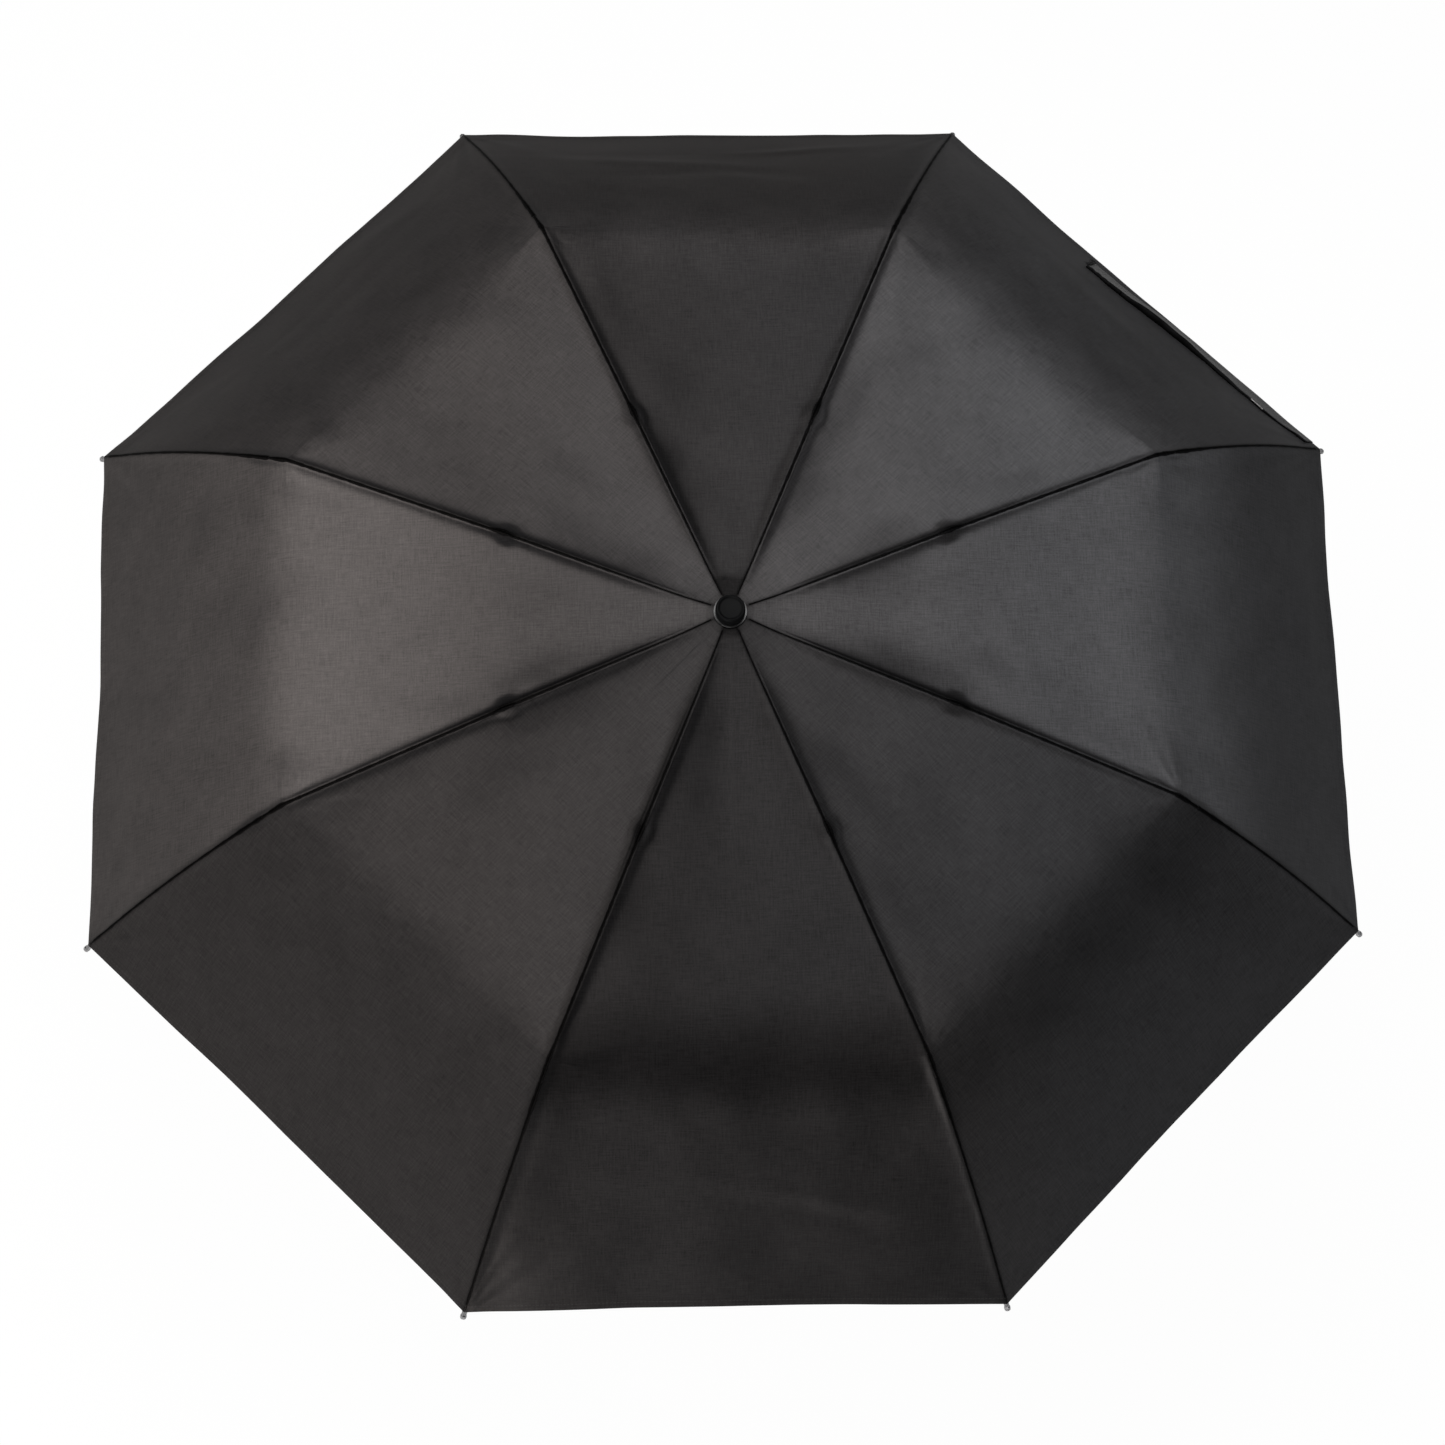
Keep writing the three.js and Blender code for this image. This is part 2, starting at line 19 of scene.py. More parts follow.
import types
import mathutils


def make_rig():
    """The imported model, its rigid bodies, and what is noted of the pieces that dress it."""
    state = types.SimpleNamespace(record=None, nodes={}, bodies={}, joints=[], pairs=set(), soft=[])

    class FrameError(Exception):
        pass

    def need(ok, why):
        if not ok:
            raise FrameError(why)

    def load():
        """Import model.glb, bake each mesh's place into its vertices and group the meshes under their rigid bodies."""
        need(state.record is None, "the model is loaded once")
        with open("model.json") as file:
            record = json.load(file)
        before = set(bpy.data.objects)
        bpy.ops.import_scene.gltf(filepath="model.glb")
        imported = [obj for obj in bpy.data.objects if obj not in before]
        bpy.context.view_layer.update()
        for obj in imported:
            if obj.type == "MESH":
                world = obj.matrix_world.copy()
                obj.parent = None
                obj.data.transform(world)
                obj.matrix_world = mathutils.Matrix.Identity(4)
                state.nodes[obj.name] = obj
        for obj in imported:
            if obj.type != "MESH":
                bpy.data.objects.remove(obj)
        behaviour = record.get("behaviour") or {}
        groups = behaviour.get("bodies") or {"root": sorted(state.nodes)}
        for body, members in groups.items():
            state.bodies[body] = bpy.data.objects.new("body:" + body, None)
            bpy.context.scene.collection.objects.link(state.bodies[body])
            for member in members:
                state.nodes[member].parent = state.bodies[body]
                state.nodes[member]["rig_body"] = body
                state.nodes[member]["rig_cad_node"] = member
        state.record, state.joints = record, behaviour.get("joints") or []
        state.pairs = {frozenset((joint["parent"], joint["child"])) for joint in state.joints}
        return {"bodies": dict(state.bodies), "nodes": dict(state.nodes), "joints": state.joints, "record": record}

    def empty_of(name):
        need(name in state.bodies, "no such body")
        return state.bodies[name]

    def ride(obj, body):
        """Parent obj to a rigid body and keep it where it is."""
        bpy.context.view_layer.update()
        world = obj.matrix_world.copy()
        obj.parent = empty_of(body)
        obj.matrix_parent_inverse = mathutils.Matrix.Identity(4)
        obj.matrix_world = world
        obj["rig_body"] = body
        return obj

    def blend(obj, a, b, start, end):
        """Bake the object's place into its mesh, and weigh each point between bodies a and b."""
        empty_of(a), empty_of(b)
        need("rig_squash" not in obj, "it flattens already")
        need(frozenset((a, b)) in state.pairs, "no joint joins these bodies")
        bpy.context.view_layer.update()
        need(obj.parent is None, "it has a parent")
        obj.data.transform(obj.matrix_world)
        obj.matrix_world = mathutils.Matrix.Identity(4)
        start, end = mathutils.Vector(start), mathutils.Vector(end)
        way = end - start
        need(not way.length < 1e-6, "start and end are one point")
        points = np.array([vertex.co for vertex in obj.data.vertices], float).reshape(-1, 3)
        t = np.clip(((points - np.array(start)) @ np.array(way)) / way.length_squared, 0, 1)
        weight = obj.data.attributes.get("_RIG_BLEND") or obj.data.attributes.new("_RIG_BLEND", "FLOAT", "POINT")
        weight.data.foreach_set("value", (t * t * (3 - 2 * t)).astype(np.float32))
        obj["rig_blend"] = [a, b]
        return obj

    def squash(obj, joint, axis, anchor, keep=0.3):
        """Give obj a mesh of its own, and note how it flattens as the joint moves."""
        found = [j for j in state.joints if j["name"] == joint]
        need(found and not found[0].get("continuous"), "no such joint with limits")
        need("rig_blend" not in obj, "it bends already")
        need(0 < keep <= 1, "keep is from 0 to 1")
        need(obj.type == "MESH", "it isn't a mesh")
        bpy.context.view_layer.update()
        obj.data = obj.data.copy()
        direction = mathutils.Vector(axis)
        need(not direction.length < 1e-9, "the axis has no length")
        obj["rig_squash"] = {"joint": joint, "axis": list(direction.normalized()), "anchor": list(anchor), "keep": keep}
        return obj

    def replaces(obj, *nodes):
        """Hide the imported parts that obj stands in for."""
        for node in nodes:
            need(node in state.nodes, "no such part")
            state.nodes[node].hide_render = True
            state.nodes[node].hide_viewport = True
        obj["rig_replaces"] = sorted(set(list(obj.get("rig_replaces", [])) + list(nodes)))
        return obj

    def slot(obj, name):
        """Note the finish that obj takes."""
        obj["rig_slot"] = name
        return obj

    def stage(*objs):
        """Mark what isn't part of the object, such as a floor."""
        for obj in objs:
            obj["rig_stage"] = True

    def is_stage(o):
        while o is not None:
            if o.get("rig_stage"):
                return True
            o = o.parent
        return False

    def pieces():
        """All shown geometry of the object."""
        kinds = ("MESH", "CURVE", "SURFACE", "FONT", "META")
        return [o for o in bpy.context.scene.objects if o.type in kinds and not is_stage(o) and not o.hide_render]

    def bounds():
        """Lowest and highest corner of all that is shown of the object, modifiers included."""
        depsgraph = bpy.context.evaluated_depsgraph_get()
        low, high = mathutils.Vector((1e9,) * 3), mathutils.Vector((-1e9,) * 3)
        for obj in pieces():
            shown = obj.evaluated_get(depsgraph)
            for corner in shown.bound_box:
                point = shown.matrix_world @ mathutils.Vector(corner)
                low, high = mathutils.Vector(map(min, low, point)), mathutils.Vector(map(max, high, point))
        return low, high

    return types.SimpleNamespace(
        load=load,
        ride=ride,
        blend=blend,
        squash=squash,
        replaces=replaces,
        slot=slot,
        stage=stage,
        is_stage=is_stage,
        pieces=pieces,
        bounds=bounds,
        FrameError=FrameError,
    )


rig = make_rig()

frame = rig.load()
NODES = frame["nodes"]
cad_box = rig.bounds()

MM = 0.001
HALF_GORE = radians(22.5)
COS_HALF, SIN_HALF = cos(HALF_GORE), sin(HALF_GORE)
AZIMUTHS = [22.5 + 45 * i for i in range(8)]
HALVES = [(rib, side) for rib in range(8) for side in (1, -1)]
rng = np.random.default_rng(11)

# ------------------------------------------------------------------ driving dimensions
CROWN_R, CROWN_Z = 10.5, 531.0                        # hinge of the top ribs
TOP_SLOPE, MID_SLOPE, OUT_SLOPE = 3.0, 5.5, 40.8      # degrees below level
TOP_LENGTH, MID_LENGTH, OUT_LENGTH = 156.0, 162.0, 201.0
OUT_BOW = 9.0                                         # height of the outer rib's arch
HINGE_OFFSET = 1.7                                    # joint axis from a rib's centre line
TOP_LIFT, MID_LIFT, OUT_LIFT = 1.64, 1.54, 1.3        # cloth above a rib's centre line
CLOTH_THICKNESS = 0.18
HEM_EXTRA = 0.17                                      # added to each face along the hem
LINE_STEP = 0.5                                       # spacing of samples down the rib


# ------------------------------------------------------------------ the ribs' plane, as (r, z)
def downhill(slope):
    return np.array([cos(radians(slope)), -sin(radians(slope))])


def off_slope(slope):
    return np.array([sin(radians(slope)), cos(radians(slope))])


def over(base, slope, distance, lift):
    """The point a distance down a slope from base, and a lift above it."""
    return base + downhill(slope) * distance + off_slope(slope) * lift


CROWN = np.array([CROWN_R, CROWN_Z])
JOINT = over(CROWN, TOP_SLOPE, TOP_LENGTH, HINGE_OFFSET)
MID_START = over(JOINT, MID_SLOPE, 0, -HINGE_OFFSET)
KNEE = over(MID_START, MID_SLOPE, MID_LENGTH, -HINGE_OFFSET)
OUT_START = over(KNEE, OUT_SLOPE, 0, HINGE_OFFSET)


def smooth(start, end, x):
    share = np.clip((x - start) / (end - start), 0, 1)
    return share * share * (3 - 2 * share)


def plateau(x, rise_start, rise_end, fall_start, fall_end):
    return smooth(rise_start, rise_end, x) * (1 - smooth(fall_start, fall_end, x))


def bell(offset, width):
    return np.exp(-(offset / width) ** 2)


# ------------------------------------------------------------------ the cloth's line over a rib
def rib_line():
    points = [(6.5, 535.75), (9.5, 535.76), (13.0, 535.7), (14.4, 535.55)]
    for x in (19, 24, 34, 46, 60, 80, 100, 120, 136, 147):
        lift = TOP_LIFT + 1.0 * exp(-((x - 19) / 6.0) ** 2)
        points.append(over(CROWN, TOP_SLOPE, x, lift))
    for x in (151, 153.5, 155.0):
        points.append(over(CROWN, TOP_SLOPE, x, TOP_LIFT + 1.62 * smooth(145, 154.0, x)))
    points.append(over(JOINT, 4.2, 0, 1.58))
    for x in (1.4, 3.0, 5.5, 8, 11):
        lift = MID_LIFT + HINGE_OFFSET * (1 - smooth(2.0, 9.5, x))
        points.append(over(MID_START, MID_SLOPE, x, lift))
    for x in (20, 40, 60, 80, 100, 120, 140, 152, 158):
        points.append(over(MID_START, MID_SLOPE, x, MID_LIFT))
    for slope in (MID_SLOPE, 14.0, 23.0, 32.0, OUT_SLOPE):
        turned = (slope - MID_SLOPE) / (OUT_SLOPE - MID_SLOPE)
        lift = MID_LIFT + HINGE_OFFSET - (MID_LIFT - OUT_LIFT) * turned
        points.append(over(KNEE, slope, 0, lift))
    for x in (3.5, 7, 12, 20, 30, 42, 55, 70, 85, 100, 115, 130, 145, 160, 172, 180, 187, 193, 199):
        tilt = atan(4 * OUT_BOW / OUT_LENGTH * (1 - 2 * x / OUT_LENGTH))
        arch = 4 * OUT_BOW * (x / OUT_LENGTH) * (1 - x / OUT_LENGTH)
        lift = OUT_LIFT + 0.85 * smooth(178, 192, x)
        distance = x - sin(tilt) * lift * 0.5
        points.append(over(OUT_START, OUT_SLOPE, distance, arch + cos(tilt) * lift))
    return np.array([tuple(point) for point in points])


def blurred(values, sigma):
    """Values along the line smoothed over sigma millimetres, keeping both ends in place."""
    reach = int(3 * sigma / LINE_STEP)
    weights = np.exp(-0.5 * (np.arange(-reach, reach + 1) * LINE_STEP / sigma) ** 2)
    weights /= weights.sum()
    head = 2 * values[0] - values[1:reach + 1][::-1]
    tail = 2 * values[-1] - values[-reach - 1:-1][::-1]
    return np.convolve(np.concatenate([head, values, tail]), weights, "valid")


corners = rib_line()
corner_s = np.concatenate([[0], np.cumsum(np.hypot(*np.diff(corners, axis=0).T))])
LINE_S = np.arange(0, corner_s[-1] + LINE_STEP / 2, LINE_STEP)
LINE_S[-1] = corner_s[-1]
raw_r, raw_z = (np.interp(LINE_S, corner_s, corners[:, k]) for k in (0, 1))


def over_rib(raw):
    """Corners rounded by a millimetre or so, more sharply for the first 30 mm."""
    line = blurred(raw, 1.0)
    line[:60] = blurred(raw, 0.6)[:60]
    return line


def over_middle(raw):
    """The line for the middle of a gore, where the cloth has no rib under it."""
    return raw + (blurred(raw, 17.0) - raw) * smooth(20, 70, LINE_S)


RIB_R, RIB_Z = over_rib(raw_r), over_rib(raw_z)
SOFT_R, SOFT_Z = over_middle(raw_r), over_middle(raw_z)
RIB_DR, RIB_DZ, SOFT_DR, SOFT_DZ = (np.gradient(v, LINE_S) for v in (RIB_R, RIB_Z, SOFT_R, SOFT_Z))
S_JOINT = float(np.interp(JOINT[0], raw_r, LINE_S))
S_KNEE = float(np.interp(KNEE[0] + 1.1, raw_r, LINE_S))
S_HEM = LINE_S[-1]


def at(table, s):
    return np.interp(s, LINE_S, table)


# ------------------------------------------------------------------ random folds and wrinkles
def draw(count, *ranges):
    """Rows of random numbers, one from each range."""
    return [tuple(rng.uniform(*limits) for limits in ranges) for _ in range(count)]


TURN = (0, 2 * pi)
WAVES = []
for length, size, count in ((150, 0.55, 7), (80, 0.26, 9), (42, 0.10, 10)):
    for heading, factor, phase in draw(count, TURN, (0.75, 1.35), TURN):
        wave = length * factor
        WAVES.append((cos(heading) * 2 * pi / wave, sin(heading) * 2 * pi / wave, phase,
                      size / sqrt(count)))


def drift(x, y):
    """Broad unevenness of the whole sheet."""
    total = np.zeros_like(x)
    for wave_x, wave_y, phase, size in WAVES:
        total += size * np.sin(wave_x * x + wave_y * y + phase)
    return total


# Per half gore: fans out of the hem's corner and the knee as (heading, spread, size, reach),
# then puckers at the inner joint and pulls along the rib as (place down the rib, width, size, reach).
CREASES = {}
for half in HALVES:
    CREASES[half] = (
        draw(7, (0.18, 1.0), (0.035, 0.075), (0.35, 1.0), (55, 120)),
        draw(6, (0.12, 1.45), (0.05, 0.10), (0.3, 1.0), (28, 60)),
        draw(9, (-22, 24), (1.3, 2.6), (-1, 1), (4, 8)),
        draw(16, (20, S_HEM - 30), (6, 16), (-1, 1), (5, 11)))
RIB_FALL = [rng.uniform(0.8, 1.3) for _ in range(8)]
GORE_SAG = [rng.uniform(0.85, 1.15) for _ in range(8)]

# Long soft folds by gore: (s, distance from the gore's middle, angle, width, length, height)
LONG_FOLDS = {}
for gore in range(8):
    LONG_FOLDS[gore] = draw(5, (S_KNEE + 40, S_HEM - 35), (-90, 90), (-0.45, 0.45), (7, 13),
                            (28, 60), (-0.55, 0.55))
    LONG_FOLDS[gore] += draw(4, (90, S_KNEE - 50), (-40, 40), (-1.2, 1.2), (9, 16),
                             (30, 70), (-0.3, 0.3))
# The strongest ones: on the far gore, the near gore and the gore left of the near one
FAR_GORE, NEAR_GORE = 1, 5
LONG_FOLDS[FAR_GORE] += [(S_KNEE + 120, 40, 0.10, 8, 60, 0.7), (S_KNEE + 150, -60, -0.15, 7, 50, 0.6)]
LONG_FOLDS[NEAR_GORE] += [(S_KNEE + 105, 40, 0.2, 9, 55, 0.9), (S_KNEE + 125, 75, 0.28, 8, 40, -0.7)]
LONG_FOLDS[4] += [(S_KNEE + 60, -20, -0.3, 10, 60, 0.6)]


def gore_of(rib, side):
    return rib if side > 0 else (rib - 1) % 8


# Beside each rib, by (rib, side): cloth drawn up into a soft ridge (+) or fallen into a gutter (-); the ridges also get
# a painted highlight and the gutters painted shade
BESIDE = {
    (0, 1): -0.80, (0, -1): 0.06, (1, 1): 0.34, (1, -1): -0.22,
    (2, 1): -0.25, (2, -1): 0.12, (3, 1): 0.10, (3, -1): -0.55,
    (4, 1): 0.14, (4, -1): -0.72, (5, 1): 0.36, (5, -1): -0.62,
    (6, 1): -0.25, (6, -1): 0.30, (7, 1): -0.80, (7, -1): 0.20}


def beside(rib, side, s, y):
    """The ridge or gutter at s, and y across from the rib."""
    size = BESIDE[rib, side]
    length = (smooth(14, 70, s) * (1 - 0.55 * smooth(S_JOINT + 8, S_JOINT + 70, s))
              * (1 - 0.7 * smooth(S_HEM - 90, S_HEM - 20, s)))
    if size < 0:
        return size * length * bell(y, 4.6 * (0.45 + 0.55 * smooth(20, 110, s)))
    return size * length * bell(y - 3.4, 2.9)


def fall_off(rib, s, y):
    """How far the cloth falls away on both sides of the rib it is stretched over."""
    depth = 0.55 + 0.5 * plateau(s, 30, 90, S_KNEE - 20, S_KNEE)
    depth = depth + 0.8 * bell(s - S_JOINT, 22) + 1.1 * bell(s - S_KNEE - 22, 20)
    depth = depth * RIB_FALL[rib] * smooth(8, 40, s) * (1 - 0.6 * smooth(S_HEM - 26, S_HEM - 4, s))
    beyond = np.maximum(y - 2.0, 0.0)               # the rib itself holds the cloth up
    return depth * (1 - np.exp(-(beyond / 3.4) ** 1.5)) * np.exp(-y / 30.0)


def puckers(joint, pulls, s, y):
    """Creases across the rib, strongest at the inner folding joint."""
    total = np.zeros_like(s)
    for place, width, size, reach in joint:
        total += 0.12 * abs(size) * bell(s - S_JOINT - place, width) * bell(y, reach)
    for place, width, size, reach in pulls:
        total += 0.10 * abs(size) * bell(s - place - 0.7 * y, width * 0.5) * bell(y, reach)
    return total * smooth(1.9, 3.5, y)


def fan(folds, angle, distance, middle_size, clear, full):
    """Tension folds spreading from a point, starting between clear and full away from it."""
    total = np.zeros_like(distance)
    for heading, spread, size, reach in folds:
        total += (size - middle_size) * bell(angle - heading, spread) * bell(distance, reach)
    return total * smooth(clear, full, distance)


def gathers(gore, rib, s, y, lateral):
    """Little gathers around the cap."""
    if gore == FAR_GORE:
        ripple = 0.30 * np.sin((s - 7) * 1.9)
        return ripple * plateau(s, 5.5, 8, 21, 26) * smooth(0.5, 1.5, y)
    if gore == NEAR_GORE:
        ripple = 0.42 * np.sin((s - 6) * 1.5 + 0.15 * lateral)
        return ripple * plateau(s, 5.5, 7.5, 13, 18) * smooth(0.4, 1.2, y)
    ripple = 0.14 * np.sin((s - 6) * 1.3 + rib)
    return ripple * plateau(s, 5.5, 8, 11, 17) * smooth(0.5, 1.5, y)


def height(rib, side, s, t):
    """Folds over the plain sheet, in millimetres along its normal."""
    half = np.maximum(at(RIB_R, s) * SIN_HALF, 2.0)
    y = t * half                                    # across, from the rib
    middle = (1 - t) * half                         # across, from the gore's middle
    lateral = middle * side * -1.0
    corner, knee, joint, pulls = CREASES[rib, side]
    gore = gore_of(rib, side)
    total = -fall_off(rib, s, y)
    strength = 0.2 if BESIDE[rib, side] > 0 else 0.55
    total += strength * beside(rib, side, s, np.maximum(y - 1.2, 0)) * smooth(1.9, 3.6, y)
    total -= puckers(joint, pulls, s, y)

    edge = smooth(0.6, 4.0, y) * smooth(1.0, 12.0, middle)
    from_hem = S_HEM + 4 - s
    angle = np.arctan2(y, np.maximum(from_hem, 1e-3))
    total += edge * 0.98 * fan(corner, angle, np.hypot(from_hem, y), 0.55, clear=6, full=26)
    for direction in (1, -1):
        from_knee = (s - S_KNEE) * direction
        folds = fan(knee, np.arctan2(y, from_knee), np.hypot(from_knee, y), 0.6, clear=4, full=14)
        total += edge * 0.85 * folds * (from_knee > 0)

    for fold_s, fold_lateral, angle, width, length, size in LONG_FOLDS[gore]:
        down, sideways = s - fold_s, lateral - fold_lateral
        lengthways = sideways * cos(angle) + down * sin(angle)
        crossways = -sideways * sin(angle) + down * cos(angle)
        total += 1.35 * size * bell(lengthways, length) * bell(crossways, width) * smooth(2, 12, y)
    total += gathers(gore, rib, s, y, lateral)
    # a slight roll of the hem
    total += 0.35 * bell(S_HEM - s - 3.0, 3.2) * smooth(1.5, 7, y)
    return total


# ------------------------------------------------------------------ the sheet
UP = np.array([0, 0, 1.0])


def polar(azimuth):
    return np.array([cos(azimuth), sin(azimuth), 0.0])


def tangent(azimuth):
    return np.array([-sin(azimuth), cos(azimuth), 0.0])


def unit(vectors):
    return vectors / np.linalg.norm(vectors, axis=-1, keepdims=True)


def soft_share(t):
    """How much the middle's softer line counts at t."""
    return smooth(0.0, 0.42, t) * 0.92


def sheet(rib, side, s, t):
    """Points of the sheet's middle surface, and its plain normals, in the CAD frame."""
    s, t = np.broadcast_arrays(np.asarray(s, float), np.asarray(t, float))
    share = soft_share(t)
    # the lump over the folding joint dies away close to the rib
    flatten = 0.92 * smooth(2.2, 11.0, t * at(RIB_R, s) * SIN_HALF) * bell(s - S_JOINT, 20.0)
    share = share + flatten * (1 - share)

    def mixed(rib_table, soft_table):
        return at(rib_table, s) * (1 - share) + at(soft_table, s) * share

    radius, z = mixed(RIB_R, SOFT_R), mixed(RIB_Z, SOFT_Z)
    slope_r, slope_z = mixed(RIB_DR, SOFT_DR), mixed(RIB_DZ, SOFT_DZ)
    rib_azimuth = radians(AZIMUTHS[rib])
    middle_azimuth = rib_azimuth + side * HALF_GORE
    outward = polar(middle_azimuth)
    towards_rib = -side * tangent(middle_azimuth)
    x, y = radius * COS_HALF, (1 - t) * radius * SIN_HALF
    from_rib = t * radius * SIN_HALF
    # the sag, flat over the rib's own width
    inside = np.clip((from_rib - 2.0) / np.maximum(radius * SIN_HALF - 2.0, 1.0), 0, 1)
    sag = (4.2 * GORE_SAG[gore_of(rib, side)] * smooth(15, 150, radius)
           * np.clip((S_HEM - s) / 60, 0, 1) * (2 * inside - inside * inside))
    # the rim runs a little inwards between its corners
    bay = 1.6 * smooth(S_HEM - 60, S_HEM, s) * (1 - (1 - t) ** 2)
    points = ((x - bay)[..., None] * outward + y[..., None] * towards_rib
              + (z - sag)[..., None] * UP)
    # folds stand along the rib's own normal at the rib, and the gore's everywhere else
    rise = (-slope_z)[..., None]
    at_rib = unit(rise * polar(rib_azimuth) + slope_r[..., None] * UP)
    at_gore = unit(rise * outward + (slope_r * COS_HALF)[..., None] * UP)
    weight = smooth(0, 5.0, from_rib)[..., None]
    normals = unit(at_rib * (1 - weight) + at_gore * weight)
    relief = height(rib, side, s, t)
    relief = relief + (drift(points[..., 0], points[..., 1]) * smooth(4, 30, from_rib)
                       * smooth(30, 80, s))
    return points + normals * relief[..., None], normals


# ------------------------------------------------------------------ cuts across the cloth
def cut(columns, base, direction):
    """s for each t where the plane through base, square to direction, meets the sheet."""
    places = []
    for t in columns:
        share = float(soft_share(t))
        radius = RIB_R * (1 - share) + SOFT_R * share
        z = RIB_Z * (1 - share) + SOFT_Z * share
        x = radius * (1 - SIN_HALF * SIN_HALF * t)
        beyond = (x - base[0]) * direction[0] + (z - base[1]) * direction[1]
        k = max(int(np.argmax(beyond > 0)), 1)
        part = beyond[k - 1] / (beyond[k - 1] - beyond[k])
        places.append(LINE_S[k - 1] + part * (LINE_S[k] - LINE_S[k - 1]))
    return np.array(places)


COLUMNS = np.concatenate([
    [0, .006, .013, .021, .03, .041, .054, .07, .09, .113, .14, .17, .205, .245],
    np.linspace(.285, 1, 19)])
joint_cut = cut(COLUMNS, JOINT, np.array([1.0, 0.0]))
joint_cut[0] = S_JOINT
knee_line = np.full_like(COLUMNS, S_KNEE)
knee_cut = np.maximum(cut(COLUMNS, KNEE, downhill(OUT_SLOPE)), S_KNEE)
knee_cut[0] = S_KNEE
EDGES = [np.zeros_like(COLUMNS), joint_cut, knee_line, knee_cut, np.full_like(COLUMNS, S_HEM)]


def graded(first, last, end_count, middle_count):
    """Shares from 0 to 1, at one spacing up to first and after last, and another between."""
    return np.concatenate([np.linspace(0, first, end_count),
                           np.linspace(first, last, middle_count)[1:],
                           np.linspace(last, 1, end_count)[1:]])


# Rows of the four bands of cloth: inner, middle, knee and outer
BAND_SHARES = [graded(.12, .86, 12, 30), graded(.1, .9, 9, 34), np.linspace(0, 1, 15),
               graded(.12, .93, 12, 48)]
BAND_ENDS = np.cumsum([0] + [len(shares) - 1 for shares in BAND_SHARES])
bands = [start[None, :] * (1 - shares[:, None]) + end[None, :] * shares[:, None]
         for start, end, shares in zip(EDGES, EDGES[1:], BAND_SHARES)]
GRID_S = np.concatenate([bands[0]] + [band[1:] for band in bands[1:]])
ROW_COUNT, COLUMN_COUNT = GRID_S.shape
GRID_T = np.broadcast_to(COLUMNS[None, :], GRID_S.shape)


def sheet_ids():
    """Point numbers of each half gore's grid, shared along ribs and along gore middles."""
    ids = {}
    inside = ROW_COUNT * (COLUMN_COUNT - 2)
    count = 16 * ROW_COUNT
    for rib, side in HALVES:
        grid = np.zeros((ROW_COUNT, COLUMN_COUNT), int)
        grid[:, 0] = np.arange(ROW_COUNT) + rib * ROW_COUNT
        grid[:, -1] = np.arange(ROW_COUNT) + (8 + gore_of(rib, side)) * ROW_COUNT
        grid[:, 1:-1] = (np.arange(inside) + count).reshape(ROW_COUNT, -1)
        count += inside
        ids[rib, side] = grid
    return ids, count


IDS, point_count = sheet_ids()
POSITIONS = np.zeros((point_count, 3))
for rib, side in HALVES:
    points, _ = sheet(rib, side, GRID_S, GRID_T)
    POSITIONS[IDS[rib, side].ravel()] = points.reshape(-1, 3)
NORMALS = np.zeros((point_count, 3))
for grid in IDS.values():
    quad = grid[:-1, :-1], grid[:-1, 1:], grid[1:, 1:], grid[1:, :-1]
    first, second, third, fourth = (POSITIONS[corner] for corner in quad)
    face_normals = np.cross(third - first, fourth - second)
    face_normals[face_normals[..., 2] < 0] *= -1
    for corner in quad:
        np.add.at(NORMALS, corner.ravel(), face_normals.reshape(-1, 3))
NORMALS /= np.maximum(np.linalg.norm(NORMALS, axis=1, keepdims=True), 1e-12)


# ------------------------------------------------------------------ mesh helpers
def painted_reflection_tint(points):
    """Painted reflection tint: the cloth's reflections lean cool to the right, and warmer to the left and at the far
    and near rim, standing in for the colour of the light there.
    """
    x, y = points[:, 0], points[:, 1]
    left = 0.5 - 0.5 * np.clip((x - 20) / 190, -1, 1)
    off_centre = np.abs(x + 20)
    far = smooth(150, 430, y) * (1 - smooth(60, 260, off_centre))
    near = smooth(150, 330, -y) * (1 - smooth(120, 300, off_centre))
    return np.clip(np.maximum(left, np.maximum(far * 1.2, near * 0.75)), 0, 1.2)


def cloth_uv(lengthways, crossways):
    """Cloth coordinates: one unit is 100 mm."""
    return np.stack([lengthways * MM * 10, crossways * MM * 10], -1)


def new_mesh(name, points, faces, normals=None, uvs=None, cloth=None, is_smooth=True):
    """An object from points in millimetres. cloth holds the painted light and shade and the distance to the hem; a
    painted reflection tint is added from the points.
    """
    mesh = bpy.data.meshes.new(name)
    mesh.from_pydata([tuple(point) for point in (np.asarray(points) * MM)], [], faces)
    if uvs is not None:
        layer = mesh.uv_layers.new(name="cloth")
        corner_uvs = np.array([uvs[k] for face in faces for k in face], np.float32)
        layer.data.foreach_set("uv", corner_uvs.ravel())
    if cloth is not None:
        brightness, hem_distance = cloth
        reflection_warmth = painted_reflection_tint(np.asarray(points, float))
        for key, values in (("painted_light_shade", brightness), ("hemd", hem_distance), ("reflection_warmth", reflection_warmth)):
            attribute = mesh.attributes.new(key, "FLOAT", "POINT")
            attribute.data.foreach_set("value", np.asarray(values, np.float32))
    mesh.polygons.foreach_set("use_smooth", [is_smooth] * len(mesh.polygons))
    if normals is not None:
        mesh.normals_split_custom_set(normals)
    mesh.update()
    ob = bpy.data.objects.new(name, mesh)
    bpy.context.scene.collection.objects.link(ob)
    return ob


def fix_normals(ob):
    mesh = bmesh.new()
    mesh.from_mesh(ob.data)
    bmesh.ops.recalc_face_normals(mesh, faces=mesh.faces[:])
    if mesh.calc_volume(signed=True) < 0:
        bmesh.ops.reverse_faces(mesh, faces=mesh.faces[:])
    mesh.to_mesh(ob.data)
    mesh.free()
    ob.data.update()


def without_repeats(face):
    return [k for n, k in enumerate(face) if k != face[n - 1]]


